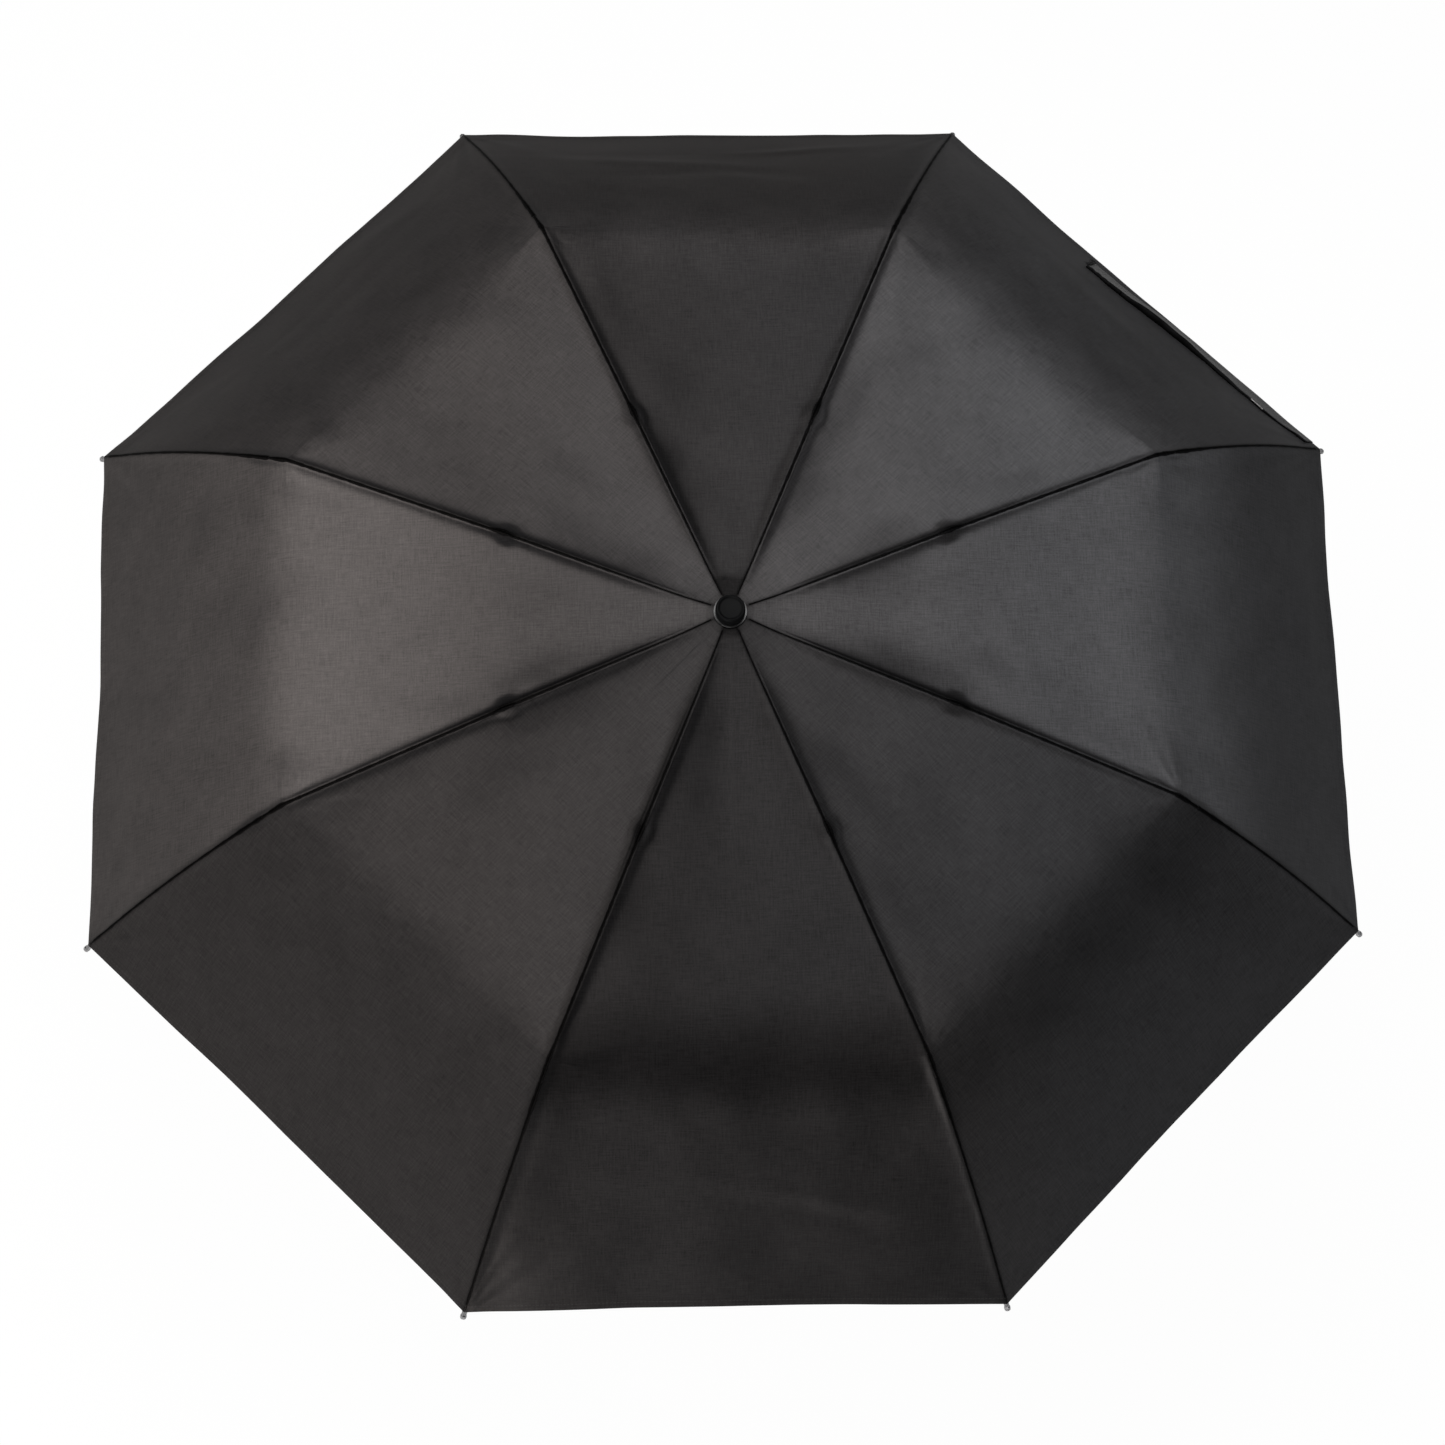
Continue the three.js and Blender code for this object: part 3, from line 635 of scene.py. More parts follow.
def tube_faces(rings, sides, start=0):
    """Faces between closed rings of points that follow one another."""
    faces = []
    for ring in range(rings - 1):
        for c in range(sides):
            here = start + ring * sides + c
            beside_it = start + ring * sides + (c + 1) % sides
            faces.append((here, beside_it, beside_it + sides, here + sides))
    return faces


# ------------------------------------------------------------------ the cloth's painted light and shade
# Painted light per panel: each panel is made lighter or darker to stand in for the light that falls on it
PANEL_PAINTED_LIGHT = [1.50, 0.82, 1.36, 1.30, 0.88, 0.68, 0.94, 1.28]
# Shade around the cap by gore: (depth, s where it starts to fade, s where it ends)
CAP_SHADE = {FAR_GORE: (0.5, 21, 27), NEAR_GORE: (0.5, 9, 15)}
PLAIN_CAP_SHADE = (0.25, 8, 13)


def painted_light_along(gore, s):
    """Painted light and shade along each panel, changing towards the knee and past it."""
    knee = s - S_KNEE
    to_knee, past = smooth(100, S_KNEE - 15, s), smooth(5, 52, knee)
    if gore == 0:
        return 1 + 0.2 * to_knee - 0.42 * past
    if gore == FAR_GORE:
        return 1 + 0.36 * bell(knee + 2, 28)
    if gore == 2:
        return 1 - 0.22 * past
    if gore == 3:
        return 0.82 + 0.56 * to_knee - 0.32 * smooth(0, 30, knee)
    if gore == NEAR_GORE:
        return (1 - 0.38 * plateau(knee, -60, -8, 12, 50)) * (1 + 0.12 * past)
    if gore == 6:
        return 1 - 0.3 * bell(knee - 30, 38) + 0.1 * smooth(90, 160, knee)
    if gore == 7:
        return 1 + 0.15 * to_knee + 0.12 * bell(knee - 28, 20) - 0.38 * smooth(30, 110, knee)
    return 1 + 0.14 * to_knee - 0.1 * past


def painted_light_and_shade(rib, side, s, t):
    """Painted light and shade on the cloth, where 1 is plain cloth: painted shade along the seam, at the folding joint,
    in the gutters and around the cap's gathers, a painted highlight on the ridges, and painted light along and per
    panel.
    """
    y, gore = t * at(RIB_R, s) * SIN_HALF, gore_of(rib, side)
    value = 1 - 0.6 * bell(y, 1.7)                       # painted shade along the seam's own line
    # painted shade at the folding joint, close to the rib
    value *= 1 - 0.30 * bell(s - S_JOINT, 14) * bell(y, 2.6)
    # painted highlight on the ridges and painted shade in the gutters beside the rib
    value *= 1 + (0.95 if BESIDE[rib, side] < 0 else 0.9) * beside(rib, side, s, y)
    # painted shade around the cap
    depth, fade_start, fade_end = CAP_SHADE.get(gore, PLAIN_CAP_SHADE)
    value *= 1 - depth * plateau(s, 4, 6, fade_start, fade_end)
    return value * painted_light_along(gore, s) * PANEL_PAINTED_LIGHT[gore]


# ------------------------------------------------------------------ a piece of the sheet
def merged_points(points):
    """Which points to keep, and for every point its number among those kept."""
    numbers, keep = {}, []
    remap = np.zeros(len(points), int)
    for k, point in enumerate(np.round(points, 5)):
        place = tuple(point)
        if place not in numbers:
            numbers[place] = len(keep)
            keep.append(k)
        remap[k] = numbers[place]
    return keep, remap


def face_normal(points, face):
    normal = np.cross(points[face[1]] - points[face[0]], points[face[-1]] - points[face[0]])
    length = np.linalg.norm(normal)
    return tuple(normal / length) if length > 1e-12 else (0, 0, 1)


def sheet_piece(name, rib, side, first_row, last_row):
    """A closed thin solid from some rows of one half gore."""
    span = slice(first_row, last_row + 1)
    grid = IDS[rib, side][span]
    middle, normals = POSITIONS[grid], NORMALS[grid]
    s, t = GRID_S[span], GRID_T[span]
    half_thick = CLOTH_THICKNESS * 0.5 + HEM_EXTRA * smooth(S_HEM - 7.2, S_HEM - 6.6, s)
    offset = normals * half_thick[..., None]
    both = np.concatenate([(middle + offset).reshape(-1, 3), (middle - offset).reshape(-1, 3)])
    keep, remap = merged_points(both)

    def kept(values):
        return np.concatenate([values, values])[keep]

    points, point_normals = both[keep], kept(normals.reshape(-1, 3))
    from_middle = (1 - t) * at(RIB_R, s) * SIN_HALF
    uvs = kept(cloth_uv(s, from_middle * -side).reshape(-1, 2))
    cloth = kept(painted_light_and_shade(rib, side, s, t).ravel()), kept((S_HEM - s).ravel())
    faces, facing = [], []          # facing: 1 upper face, -1 lower face, 0 rim

    def add(face, direction):
        face = without_repeats([int(remap[k]) for k in face])
        if len(set(face)) >= 3:
            faces.append(tuple(face if side < 0 else face[::-1]))
            facing.append(direction)

    rows, columns = grid.shape
    size = rows * columns
    index = np.arange(size).reshape(rows, columns)
    for r in range(rows - 1):
        for c in range(columns - 1):
            quad = [index[r, c], index[r, c + 1], index[r + 1, c + 1], index[r + 1, c]]
            add(quad, 1)
            add([k + size for k in quad[::-1]], -1)
    rim = np.concatenate([index[0], index[1:, -1], index[-1, -2::-1], index[-2:0:-1, 0]])
    for here, following in zip(rim, np.roll(rim, -1)):
        add((following, here, here + size, following + size), 0)
    # turn the solid right side out, by its first upper face
    face = faces[facing.index(1)]
    winding = np.cross(points[face[1]] - points[face[0]], points[face[2]] - points[face[0]])
    if np.dot(winding, point_normals[face[0]]) < 0:
        faces = [face[::-1] for face in faces]
    corner_normals = []
    for face, direction in zip(faces, facing):
        if direction:
            corner_normals += [tuple(point_normals[k] * direction) for k in face]
        else:
            corner_normals += [face_normal(points, face)] * len(face)
    return new_mesh(name, points, faces, corner_normals, uvs, cloth)


# ------------------------------------------------------------------ shader helpers
def operator(operation, swapped=False):
    def apply(self, other):
        pair = (other, self) if swapped else (self, other)
        return self.nodes.math(operation, *pair)
    return apply


class Value:
    """A node's output. Arithmetic on it adds Math nodes."""

    def __init__(self, nodes, socket):
        self.nodes = nodes
        self.socket = socket

    __add__ = operator("ADD")
    __radd__ = operator("ADD", swapped=True)
    __sub__ = operator("SUBTRACT")
    __mul__ = operator("MULTIPLY")
    __lt__ = operator("LESS_THAN")
    __gt__ = operator("GREATER_THAN")

    def __abs__(self):
        return self.nodes.math("ABSOLUTE", self)

    def sine(self):
        return self.nodes.math("SINE", self)


class Nodes:
    """A node tree, emptied, with short ways to fill it."""

    def __init__(self, tree):
        self.tree = tree
        tree.nodes.clear()

    def set(self, node, inputs):
        """Links the inputs given as Values, and sets the others."""
        for key, value in inputs.items():
            if isinstance(value, Value):
                self.tree.links.new(value.socket, node.inputs[key])
            else:
                node.inputs[key].default_value = value

    def add(self, kind, inputs=None, **settings):
        node = self.tree.nodes.new("ShaderNode" + kind)
        for key, value in settings.items():
            setattr(node, key, value)
        self.set(node, inputs or {})
        return node

    def value(self, kind, inputs=None, output=0, **settings):
        return Value(self, self.add(kind, inputs, **settings).outputs[output])

    def math(self, operation, *operands):
        return self.value("Math", dict(enumerate(operands)), operation=operation)

    def stretched(self, vector, scale):
        return self.value("Mapping", {"Scale": scale, "Vector": vector})

    def noise(self, vector, scale, detail=2.0, roughness=0.5, stretch=None):
        if stretch is not None:
            vector = self.stretched(vector, stretch)
        return self.value("TexNoise", {"Scale": scale, "Detail": detail, "Roughness": roughness,
                                       "Vector": vector}, output="Fac")

    def object_place(self):
        return self.value("TexCoord", output="Object")

    def attribute(self, name):
        return self.value("Attribute", output="Fac", attribute_type="GEOMETRY",
                          attribute_name=name)

    def mix(self, factor, first, second):
        return self.value("Mix", {0: factor, 6: first, 7: second}, output=2, data_type="RGBA")

    def scaled_colour(self, brightness, colour):
        return self.value("CombineColor", {k: brightness * colour[k] for k in range(3)})

    def bump(self, height, strength, distance):
        return self.value("Bump", {"Strength": strength, "Distance": distance, "Height": height})


class Material(Nodes):
    """A new material holding a Principled shader linked to its output."""

    def __init__(self, name):
        self.material = bpy.data.materials.new(name)
        self.material.use_nodes = True
        super().__init__(self.material.node_tree)
        self.out = self.add("OutputMaterial")
        self.bsdf = self.add("BsdfPrincipled")
        self.surface = Value(self, self.bsdf.outputs[0])
        self.set(self.out, {0: self.surface})


# ------------------------------------------------------------------ materials
THREAD_PITCH = 0.5 / 100.0              # in cloth coordinates, where 1 is 100 mm
STITCH_PITCH = 0.026                    # in cloth coordinates
STITCH_INSET, STITCH_HALF_WIDTH = 5.2, 0.28    # millimetres in from the hem's edge
STITCH_COLOUR = (0.05, 0.05, 0.052, 1)
COOL_TINT, WARM_TINT = (0.955, 0.955, 1.0, 1), (1.0, 0.90, 0.865, 1)


def cloth_material(name, base, roughness, anisotropy, weave=0.5, stitched=True, gloss=0.55):
    """Plain-woven cloth: two crossed sets of threads, each going over and under."""
    mat = Material(name)
    uv = mat.value("UVMap", uv_map="cloth")
    separate = mat.add("SeparateXYZ", {0: uv})
    down, across = (Value(mat, separate.outputs[k]) for k in (0, 1))
    wave_down = (down * (pi / THREAD_PITCH)).sine()
    wave_across = (across * (pi / THREAD_PITCH)).sine()
    weaving = wave_down * wave_across
    bead = abs(wave_down) * 0.5 + abs(wave_across) * 0.5
    thread = weaving * 0.35 + bead
    # uneven yarns: thin long streaks both ways
    streaks_across = mat.noise(uv, 1.0, 3.0, 0.65, stretch=(95.0, 7.0, 1.0))
    streaks_down = mat.noise(uv, 1.0, 3.0, 0.65, stretch=(7.0, 95.0, 1.0))
    slubs = (streaks_across - 0.5) + (streaks_down - 0.5)
    cloud = mat.noise(uv, 3.0, detail=3.0, roughness=0.55)
    grain = mat.noise(uv, 75.0, detail=3.0, roughness=0.7) - 0.5
    tone = 1.0 + (slubs * 0.6 + (cloud - 0.5) * 0.35)
    # painted light and shade from the mesh, on both the colour and the reflections
    brightness = mat.attribute("painted_light_shade")
    tone = tone * brightness
    if stitched:
        in_line = abs(mat.attribute("hemd") - STITCH_INSET) < STITCH_HALF_WIDTH
        in_dash = (across * (2 * pi / STITCH_PITCH)).sine() > -0.4
        stitch = in_line * in_dash
    else:
        stitch = brightness * 0.0
    colour = mat.mix(stitch * 0.5, mat.scaled_colour(tone, base), STITCH_COLOUR)
    glint = (1.0 + (slubs * 1.0 + grain * 0.9 + (cloud - 0.5) * 0.4)) * gloss
    relief = thread * weave + slubs * 0.9 + stitch * 1.5
    mat.set(mat.bsdf, {
        "Base Color": colour,
        "Roughness": (roughness + slubs * 0.09) + (cloud - 0.5) * 0.08,
        "Specular IOR Level": brightness * glint,
        # painted reflection tint, warmer or cooler by place
        "Specular Tint": mat.mix(mat.attribute("reflection_warmth"), COOL_TINT, WARM_TINT),
        "Anisotropic": anisotropy,
        "Sheen Weight": 0.03,
        "Sheen Roughness": 0.4,
        "Tangent": mat.value("Tangent", direction_type="UV_MAP", uv_map="cloth"),
        "Normal": mat.bump(relief, strength=0.30, distance=0.00012)})
    return mat.material


CLOTH = cloth_material("canopy_cloth", base=(0.0165, 0.0160, 0.0168), roughness=0.46,
                       anisotropy=0.86)
# the seams' cloth is darker than the canopy's as painted shade along the seams
SEAM = cloth_material("seam_cloth", base=(0.007, 0.007, 0.0075), roughness=0.52,
                      anisotropy=0.6, weave=0.7, stitched=False, gloss=0.4)
STRAP = cloth_material("strap_cloth", base=(0.0165, 0.0165, 0.0172), roughness=0.48,
                       anisotropy=0.6, weave=0.7)


def solid_material(name, colour, roughness, metallic=0.0, grain=400.0, grain_tone=0.3,
                   bump=0.0001, specular=0.5, coat=0.0, streak=None, broad_tone=0.25):
    """Plastic, paint, metal or rubber, with uneven colour, a fine grain and worn edges."""
    mat = Material(name)
    place = mat.object_place()
    fine = mat.noise(place, grain, 3.0, 0.6, stretch=streak)
    broad = mat.noise(place, 30.0, 3.0, 0.5)
    pointiness = mat.value("NewGeometry", output="Pointiness")
    wear = mat.value("MapRange", {"From Min": 0.52, "From Max": 0.60, "To Min": 0.0,
                                  "To Max": 1.0, "Value": pointiness})
    tone = 1.0 + ((fine - 0.5) * grain_tone + (broad - 0.5) * broad_tone)
    lighter = tuple(min(1.0, part * 1.7 + 0.01) for part in colour) + (1,)
    mat.set(mat.bsdf, {
        "Base Color": mat.mix(wear * 0.35, mat.scaled_colour(tone, colour), lighter),
        "Roughness": roughness + (broad - 0.5) * 0.18,
        "Metallic": metallic,
        "Specular IOR Level": specular,
        "Coat Weight": coat,
        "Coat Roughness": 0.12,
        "Normal": mat.bump(fine, strength=0.35, distance=bump)})
    return mat.material


def braid_material():
    """Cord of two sets of strands crossing on the diagonal."""
    mat = Material("woven_cord")
    place = mat.object_place()

    def strands(vector):
        return mat.value("TexWave", {"Scale": 260.0, "Distortion": 1.2, "Vector": vector},
                         output="Fac", wave_type="BANDS", bands_direction="DIAGONAL")

    first = strands(place)
    relief = mat.math("MAXIMUM", first, strands(mat.stretched(place, (1, -1, 1))))
    mat.set(mat.bsdf, {
        "Base Color": mat.mix(relief, (0.008, 0.008, 0.009, 1), (0.035, 0.035, 0.038, 1)),
        "Roughness": 0.75,
        "Sheen Weight": 0.2,
        "Normal": mat.bump(relief, strength=0.7, distance=0.0004)})
    return mat.material


def label_material():
    mat = Material("label_cloth")
    fibres = mat.noise(mat.object_place(), 2500.0, 2.0, 0.6)
    mat.set(mat.bsdf, {
        "Base Color": mat.mix(fibres, (0.62, 0.61, 0.60, 1), (0.86, 0.85, 0.84, 1)),
        "Roughness": 0.7,
        "Normal": mat.bump(fibres, strength=0.3, distance=0.0001)})
    return mat.material


PLASTIC = solid_material("black_plastic", (0.013, 0.013, 0.014), roughness=0.34, grain=900,
                         grain_tone=0.25, bump=0.00006, coat=0.15)
CAP = solid_material("cap_plastic", (0.0062, 0.0064, 0.0070), roughness=0.5, grain=1400,
                     grain_tone=0.35, bump=0.00008, specular=0.10)
PAINT = solid_material("painted_steel", (0.022, 0.022, 0.024), roughness=0.38, metallic=0.25,
                       grain=700, grain_tone=0.2, bump=0.00004, coat=0.3)
STEEL = solid_material("bright_steel", (0.55, 0.56, 0.58), roughness=0.26, metallic=1.0,
                       grain=300, grain_tone=0.25, bump=0.00003, streak=(1, 1, 0.04),
                       broad_tone=0.15)
WIRE = solid_material("spring_wire", (0.5, 0.5, 0.52), roughness=0.32, metallic=1.0,
                      grain=500, grain_tone=0.2, bump=0.00003)
TIP = solid_material("tip_metal", (0.42, 0.42, 0.43), roughness=0.3, metallic=1.0,
                     grain=600, grain_tone=0.2, bump=0.00003)
RUBBER = solid_material("grip_rubber", (0.02, 0.02, 0.021), roughness=0.62, grain=1800,
                        grain_tone=0.5, bump=0.00015, specular=0.35)
CORD = braid_material()

# Materials of the CAD parts, by the start of their names; every other part is black plastic
PART_MATERIALS = {
    ("top_rib", "middle_rib"): PAINT,
    ("stretcher", "outer_rib"): WIRE,
    ("rib_tip",): TIP}
NAMED_MATERIALS = {
    "upper_tube": PAINT, "crown_wire": WIRE, "middle_tube": STEEL, "lower_tube": STEEL,
    "handle_grip": RUBBER, "wrist_cord": CORD, "canopy": CLOTH, "closure_strap": STRAP}


def part_material(name):
    for starts, material in PART_MATERIALS.items():
        if name.startswith(starts):
            return material
    return NAMED_MATERIALS.get(name, PLASTIC)


for name, part in NODES.items():
    part.data.materials.clear()
    part.data.materials.append(part_material(name))


# ------------------------------------------------------------------ placing pieces on the frame
def metres(vector):
    return tuple(float(x) for x in np.asarray(vector) * MM)


def in_rib(vector, rib, side):
    """A direction given as (outwards from the rib's foot, towards the side, up)."""
    azimuth = radians(AZIMUTHS[rib])
    return polar(azimuth) * vector[0] + tangent(azimuth) * vector[1] * side + UP * vector[2]


def rib_point(point, rib):
    """An (r, z) of the rib's plane in the CAD frame."""
    azimuth = radians(AZIMUTHS[rib])
    return np.array([cos(azimuth) * point[0], sin(azimuth) * point[0], point[1]])


def gore_axes(slope):
    """In a rib's frame: down the rib, across the gore's plane away from it, and the plane's normal."""
    down = np.array([cos(radians(slope)), 0, -sin(radians(slope))])
    chord = np.array([-SIN_HALF, COS_HALF, 0])
    across = chord - chord.dot(down) * down
    across /= np.linalg.norm(across)
    normal = np.cross(down, across)
    return down, across, (normal if normal[2] > 0 else -normal)


def put(ob, material, slot, body=None, blend=None, squash=None, replaces=None):
    """Gives a piece its material and tells the frame how it moves.

    squash is (axis, anchor in millimetres, share kept)."""
    ob.data.materials.clear()
    ob.data.materials.append(material)
    if blend:
        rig.blend(ob, *blend)
    else:
        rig.ride(ob, body)
        if squash:
            axis, anchor, keep = squash
            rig.squash(ob, "runner_slide", axis=tuple(float(x) for x in axis),
                      anchor=metres(anchor), keep=keep)
    if replaces:
        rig.replaces(ob, replaces)
    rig.slot(ob, slot)


# ------------------------------------------------------------------ the sheet's pieces
_, TOP_ACROSS, _ = gore_axes(TOP_SLOPE)
_, MID_ACROSS, _ = gore_axes(MID_SLOPE)
OUT_DOWN, OUT_ACROSS, OUT_NORMAL = gore_axes(OUT_SLOPE)
OUTER_TILT = radians(8.5)
KNEE_AXIS = -0.35 * OUT_DOWN + 0.937 * OUT_ACROSS
OUTER_AXIS = cos(OUTER_TILT) * OUT_ACROSS - sin(OUTER_TILT) * OUT_NORMAL
OUTER_KEEP = 0.033

# Band, the rib it rides on, its squash axis in the rib's frame, its anchor and the share kept
CLOTH_BANDS = [
    ("inner", "top_rib", TOP_ACROSS, CROWN, 0.0375),
    ("middle", "middle_rib", MID_ACROSS, MID_START, 0.0375),
    ("knee", "outer_rib", KNEE_AXIS, KNEE, 0.05),
    ("outer", "outer_rib", OUTER_AXIS, OUT_START, OUTER_KEEP)]

for rib, side in HALVES:
    tag = f"{rib + 1}{'a' if side > 0 else 'b'}"
    for k, (band, body, axis, anchor, keep) in enumerate(CLOTH_BANDS):
        piece = sheet_piece(f"cloth_{band}_{tag}", rib, side, BAND_ENDS[k], BAND_ENDS[k + 1])
        put(piece, CLOTH, "canopy_cloth", body=f"{body}_{rib + 1}", replaces="canopy",
            squash=(in_rib(axis, rib, side), rib_point(anchor, rib), keep))


# ------------------------------------------------------------------ seams along the ribs
# Across a seam: (place as a share of its half width, height, brightness). A positive height is
# a share of the crest; a negative one is millimetres, at the two edges and the middle groove.
# The brightness is painted shade, darkest in the middle groove.
SEAM_SECTION = [
    (-1.0, -0.10, 0.34), (-0.92, 0.45, 0.34), (-0.74, 0.8, 0.25), (-0.5, 0.95, 0.18),
    (-0.28, 1.0, 0.11), (-0.12, 0.72, 0.05), (0.0, -0.03, 0.03), (0.12, 0.72, 0.07),
    (0.28, 1.0, 0.15), (0.5, 0.95, 0.22), (0.74, 0.8, 0.3), (0.92, 0.45, 0.34),
    (1.0, -0.10, 0.34)]
NO_HEM = 99.0                           # hem distance of cloth that has no hem stitches


def seam_ends(rows, columns):
    """End faces between the seam's upper and lower lines, for the first row and the last."""
    sides = 2 * columns - 2
    faces = []
    for base, turned in ((0, False), ((rows - 1) * sides, True)):
        for c in range(columns - 1):
            face = [base + c, base + (sides - c) % sides, base + sides - c - 1, base + c + 1]
            face = without_repeats(face)
            faces.append(tuple(face[::-1] if turned else face))
    return faces


def seam(name, rib, start, end, width, crest, seed, pucker=1.0, step=1.1, ripple=1.0):
    """A doubled edge of cloth lying on the sheet along a rib, with a sharp line down its middle."""
    s = np.linspace(start, end, max(3, int((end - start) / step)) + 1)
    phase = np.random.default_rng(seed).uniform(0, 6.28, 6)
    taper = smooth(0, 1, np.minimum(s - start, end - s) / 2.0 + 0.35)
    half_width = width(s) * (1 + 0.10 * np.sin(s * 0.37 + phase[0])
                             + 0.07 * np.sin(s * 0.83 + phase[1]))
    reach = np.maximum(at(RIB_R, s) * SIN_HALF, 1.0)
    upper, lower, uvs, brightness = [], [], [], []
    for k, (place, rise, tone) in enumerate(SEAM_SECTION):
        t = np.minimum(np.abs(place) * half_width / reach, 1.0)
        points, normals = sheet(rib, 1 if place >= 0 else -1, s, t)
        shift = 1.3 if place > 0 else 0
        uneven = (1 + 0.16 * np.sin(s * 2.05 * ripple + phase[2] + shift) * pucker
                  + 0.12 * np.sin(s * 3.1 * ripple + phase[3] + place * 2) * pucker
                  + 0.1 * np.sin(s * 0.6 + phase[4]))
        lap = 1.0 if place > 0 else 0.72            # one gore's edge laps over the other
        if rise > 0:
            top = rise * crest(s) * uneven * lap * taper
        else:
            top = np.full_like(s, rise)
        upper.append(points + normals * (CLOTH_THICKNESS * 0.5 + top)[:, None])
        lower.append(points + normals * (CLOTH_THICKNESS * 0.5 - 0.16))
        uvs.append(cloth_uv(s, place * half_width))
        # painted shade across the seam, broken by lighter dashes along it
        brightness.append(tone * (1 + 0.35 * (np.sin(s * 2.4 + k) > 0.3)))
    rings = np.stack(upper + lower[1:-1][::-1], 1)
    ring_uvs = np.stack(uvs + uvs[1:-1][::-1], 1)
    ring_brightness = np.stack(brightness + brightness[1:-1][::-1], 1)
    rows, sides = rings.shape[:2]
    faces = tube_faces(rows, sides) + seam_ends(rows, len(SEAM_SECTION))
    ob = new_mesh(name, rings.reshape(-1, 3), faces, uvs=ring_uvs.reshape(-1, 2),
                  cloth=(ring_brightness.ravel(), np.full(rows * sides, NO_HEM)))
    # bring the scene up to date with the pieces made so far
    bpy.context.view_layer.update()
    fix_normals(ob)
    return ob


# Part, start, end, half width and crest height along s, and how it differs from a plain seam
SEAMS = [
    ("inner", 7.5, S_JOINT - 11.6,
     lambda s: 0.75 + 0.6 * smooth(15, 140, s),
     lambda s: 0.10 + 0.08 * smooth(20, 120, s), {}),
    ("joint", S_JOINT - 12, S_JOINT + 12,
     lambda s: 1.35 + 1.1 * bell(s - S_JOINT, 8),
     lambda s: 0.20 + 0.4 * bell(s - S_JOINT, 7), {"pucker": 2.4, "step": 0.6, "ripple": 1.25}),
    ("middle", S_JOINT + 11.6, S_KNEE - 13.6,
     lambda s: 1.3,
     lambda s: 0.18 + 0.1 * bell(s - (S_JOINT + 14), 20), {}),
    ("knee", S_KNEE - 14, S_KNEE + 17,
     lambda s: 1.3 + 0.8 * bell(s - (S_KNEE + 4), 9),
     lambda s: 0.22 + 0.35 * bell(s - (S_KNEE + 8), 9), {"pucker": 1.4, "step": 0.7}),
    ("outer", S_KNEE + 16.6, S_HEM - 1.0,
     lambda s: 1.2 + 0.8 * bell(s - (S_KNEE + 28), 22),
     lambda s: 0.22 + 0.3 * bell(s - (S_KNEE + 26), 16), {})]


def seam_motion(part, rib):
    """How a seam moves: flattened on to its rib, bent across a joint, or riding as it is."""
    def flattened(body, base, slope, lift):
        anchor = rib_point(over(base, slope, 0, lift), rib)
        return {"body": f"{body}_{rib + 1}",
                "squash": (rib_point(off_slope(slope), rib), anchor, 0.04)}

    def bent(first, second, joint, slope, reach):
        before, after = (rib_point(over(joint, slope, x, 0), rib) for x in (-reach, reach))
        return {"blend": (f"{first}_{rib + 1}", f"{second}_{rib + 1}",
                          metres(before), metres(after))}

    if part == "inner":
        return flattened("top_rib", CROWN, TOP_SLOPE, lift=1.60)
    if part == "joint":
        return bent("top_rib", "middle_rib", JOINT, slope=4, reach=2.5)
    if part == "middle":
        return flattened("middle_rib", MID_START, MID_SLOPE, lift=1.50)
    if part == "knee":
        return bent("middle_rib", "outer_rib", KNEE, slope=20, reach=4)
    return {"body": f"outer_rib_{rib + 1}"}


for rib in range(8):
    for k, (part, start, end, width, crest, options) in enumerate(SEAMS):
        piece = seam(f"seam_{part}_{rib + 1}", rib, start, end, width, crest,
                     seed=100 + 20 * k + rib, **options)
        put(piece, SEAM, "canopy_cloth", **seam_motion(part, rib))


# ------------------------------------------------------------------ cap
# Half section from the axis at the bottom to the axis at the top: (radius, height over the crown)
CAP_PROFILE = [
    (0, -8), (4.9, -8), (4.9, 7.0), (9.9, 7.0), (10.2, 8.0), (10.15, 11.6), (9.6, 13.1),
    (8.9, 13.5), (8.25, 13.35), (7.85, 12.5), (7.0, 12.25), (3.5, 12.1), (0, 12.05)]


def rounded(points, radius, steps):
    """Rounds a profile's corners."""
    points = [np.array(point, float) for point in points]
    out = [points[0]]
    for before, corner, after in zip(points, points[1:], points[2:]):
        back, ahead = before - corner, after - corner
        back_length, ahead_length = np.linalg.norm(back), np.linalg.norm(ahead)
        cut_back = min(radius, back_length * 0.45, ahead_length * 0.45)
        start = corner + back / back_length * cut_back
        end = corner + ahead / ahead_length * cut_back
        for j in range(steps + 1):
            part = j / steps
            out.append((1 - part) ** 2 * start + 2 * part * (1 - part) * corner + part * part * end)
    out.append(points[-1])
    return out


def lathe(name, profile, segments):
    """Turns a profile around the Z axis."""
    points, faces, rings = [], [], []
    for radius, z in profile:
        start = len(points)
        if radius < 1e-6:
            points.append((0, 0, z))
        else:
            angles = [2 * pi * k / segments for k in range(segments)]
            points += [(radius * cos(angle), radius * sin(angle), z) for angle in angles]
        rings.append(range(start, len(points)))
    for lower, upper in zip(rings, rings[1:]):
        for k in range(segments):
            following = (k + 1) % segments
            if len(lower) == 1:
                faces.append((lower[0], upper[k], upper[following]))
            elif len(upper) == 1:
                faces.append((lower[k], upper[0], lower[following]))
            else:
                faces.append((lower[k], upper[k], upper[following], lower[following]))
    ob = new_mesh(name, points, faces)
    fix_normals(ob)
    return ob


cap_points = [(radius, CROWN_Z + z) for radius, z in CAP_PROFILE]
put(lathe("cap", rounded(cap_points, radius=0.5, steps=5), segments=96), CAP, "black_plastic",
    body="upper_shaft", replaces="top_cap")

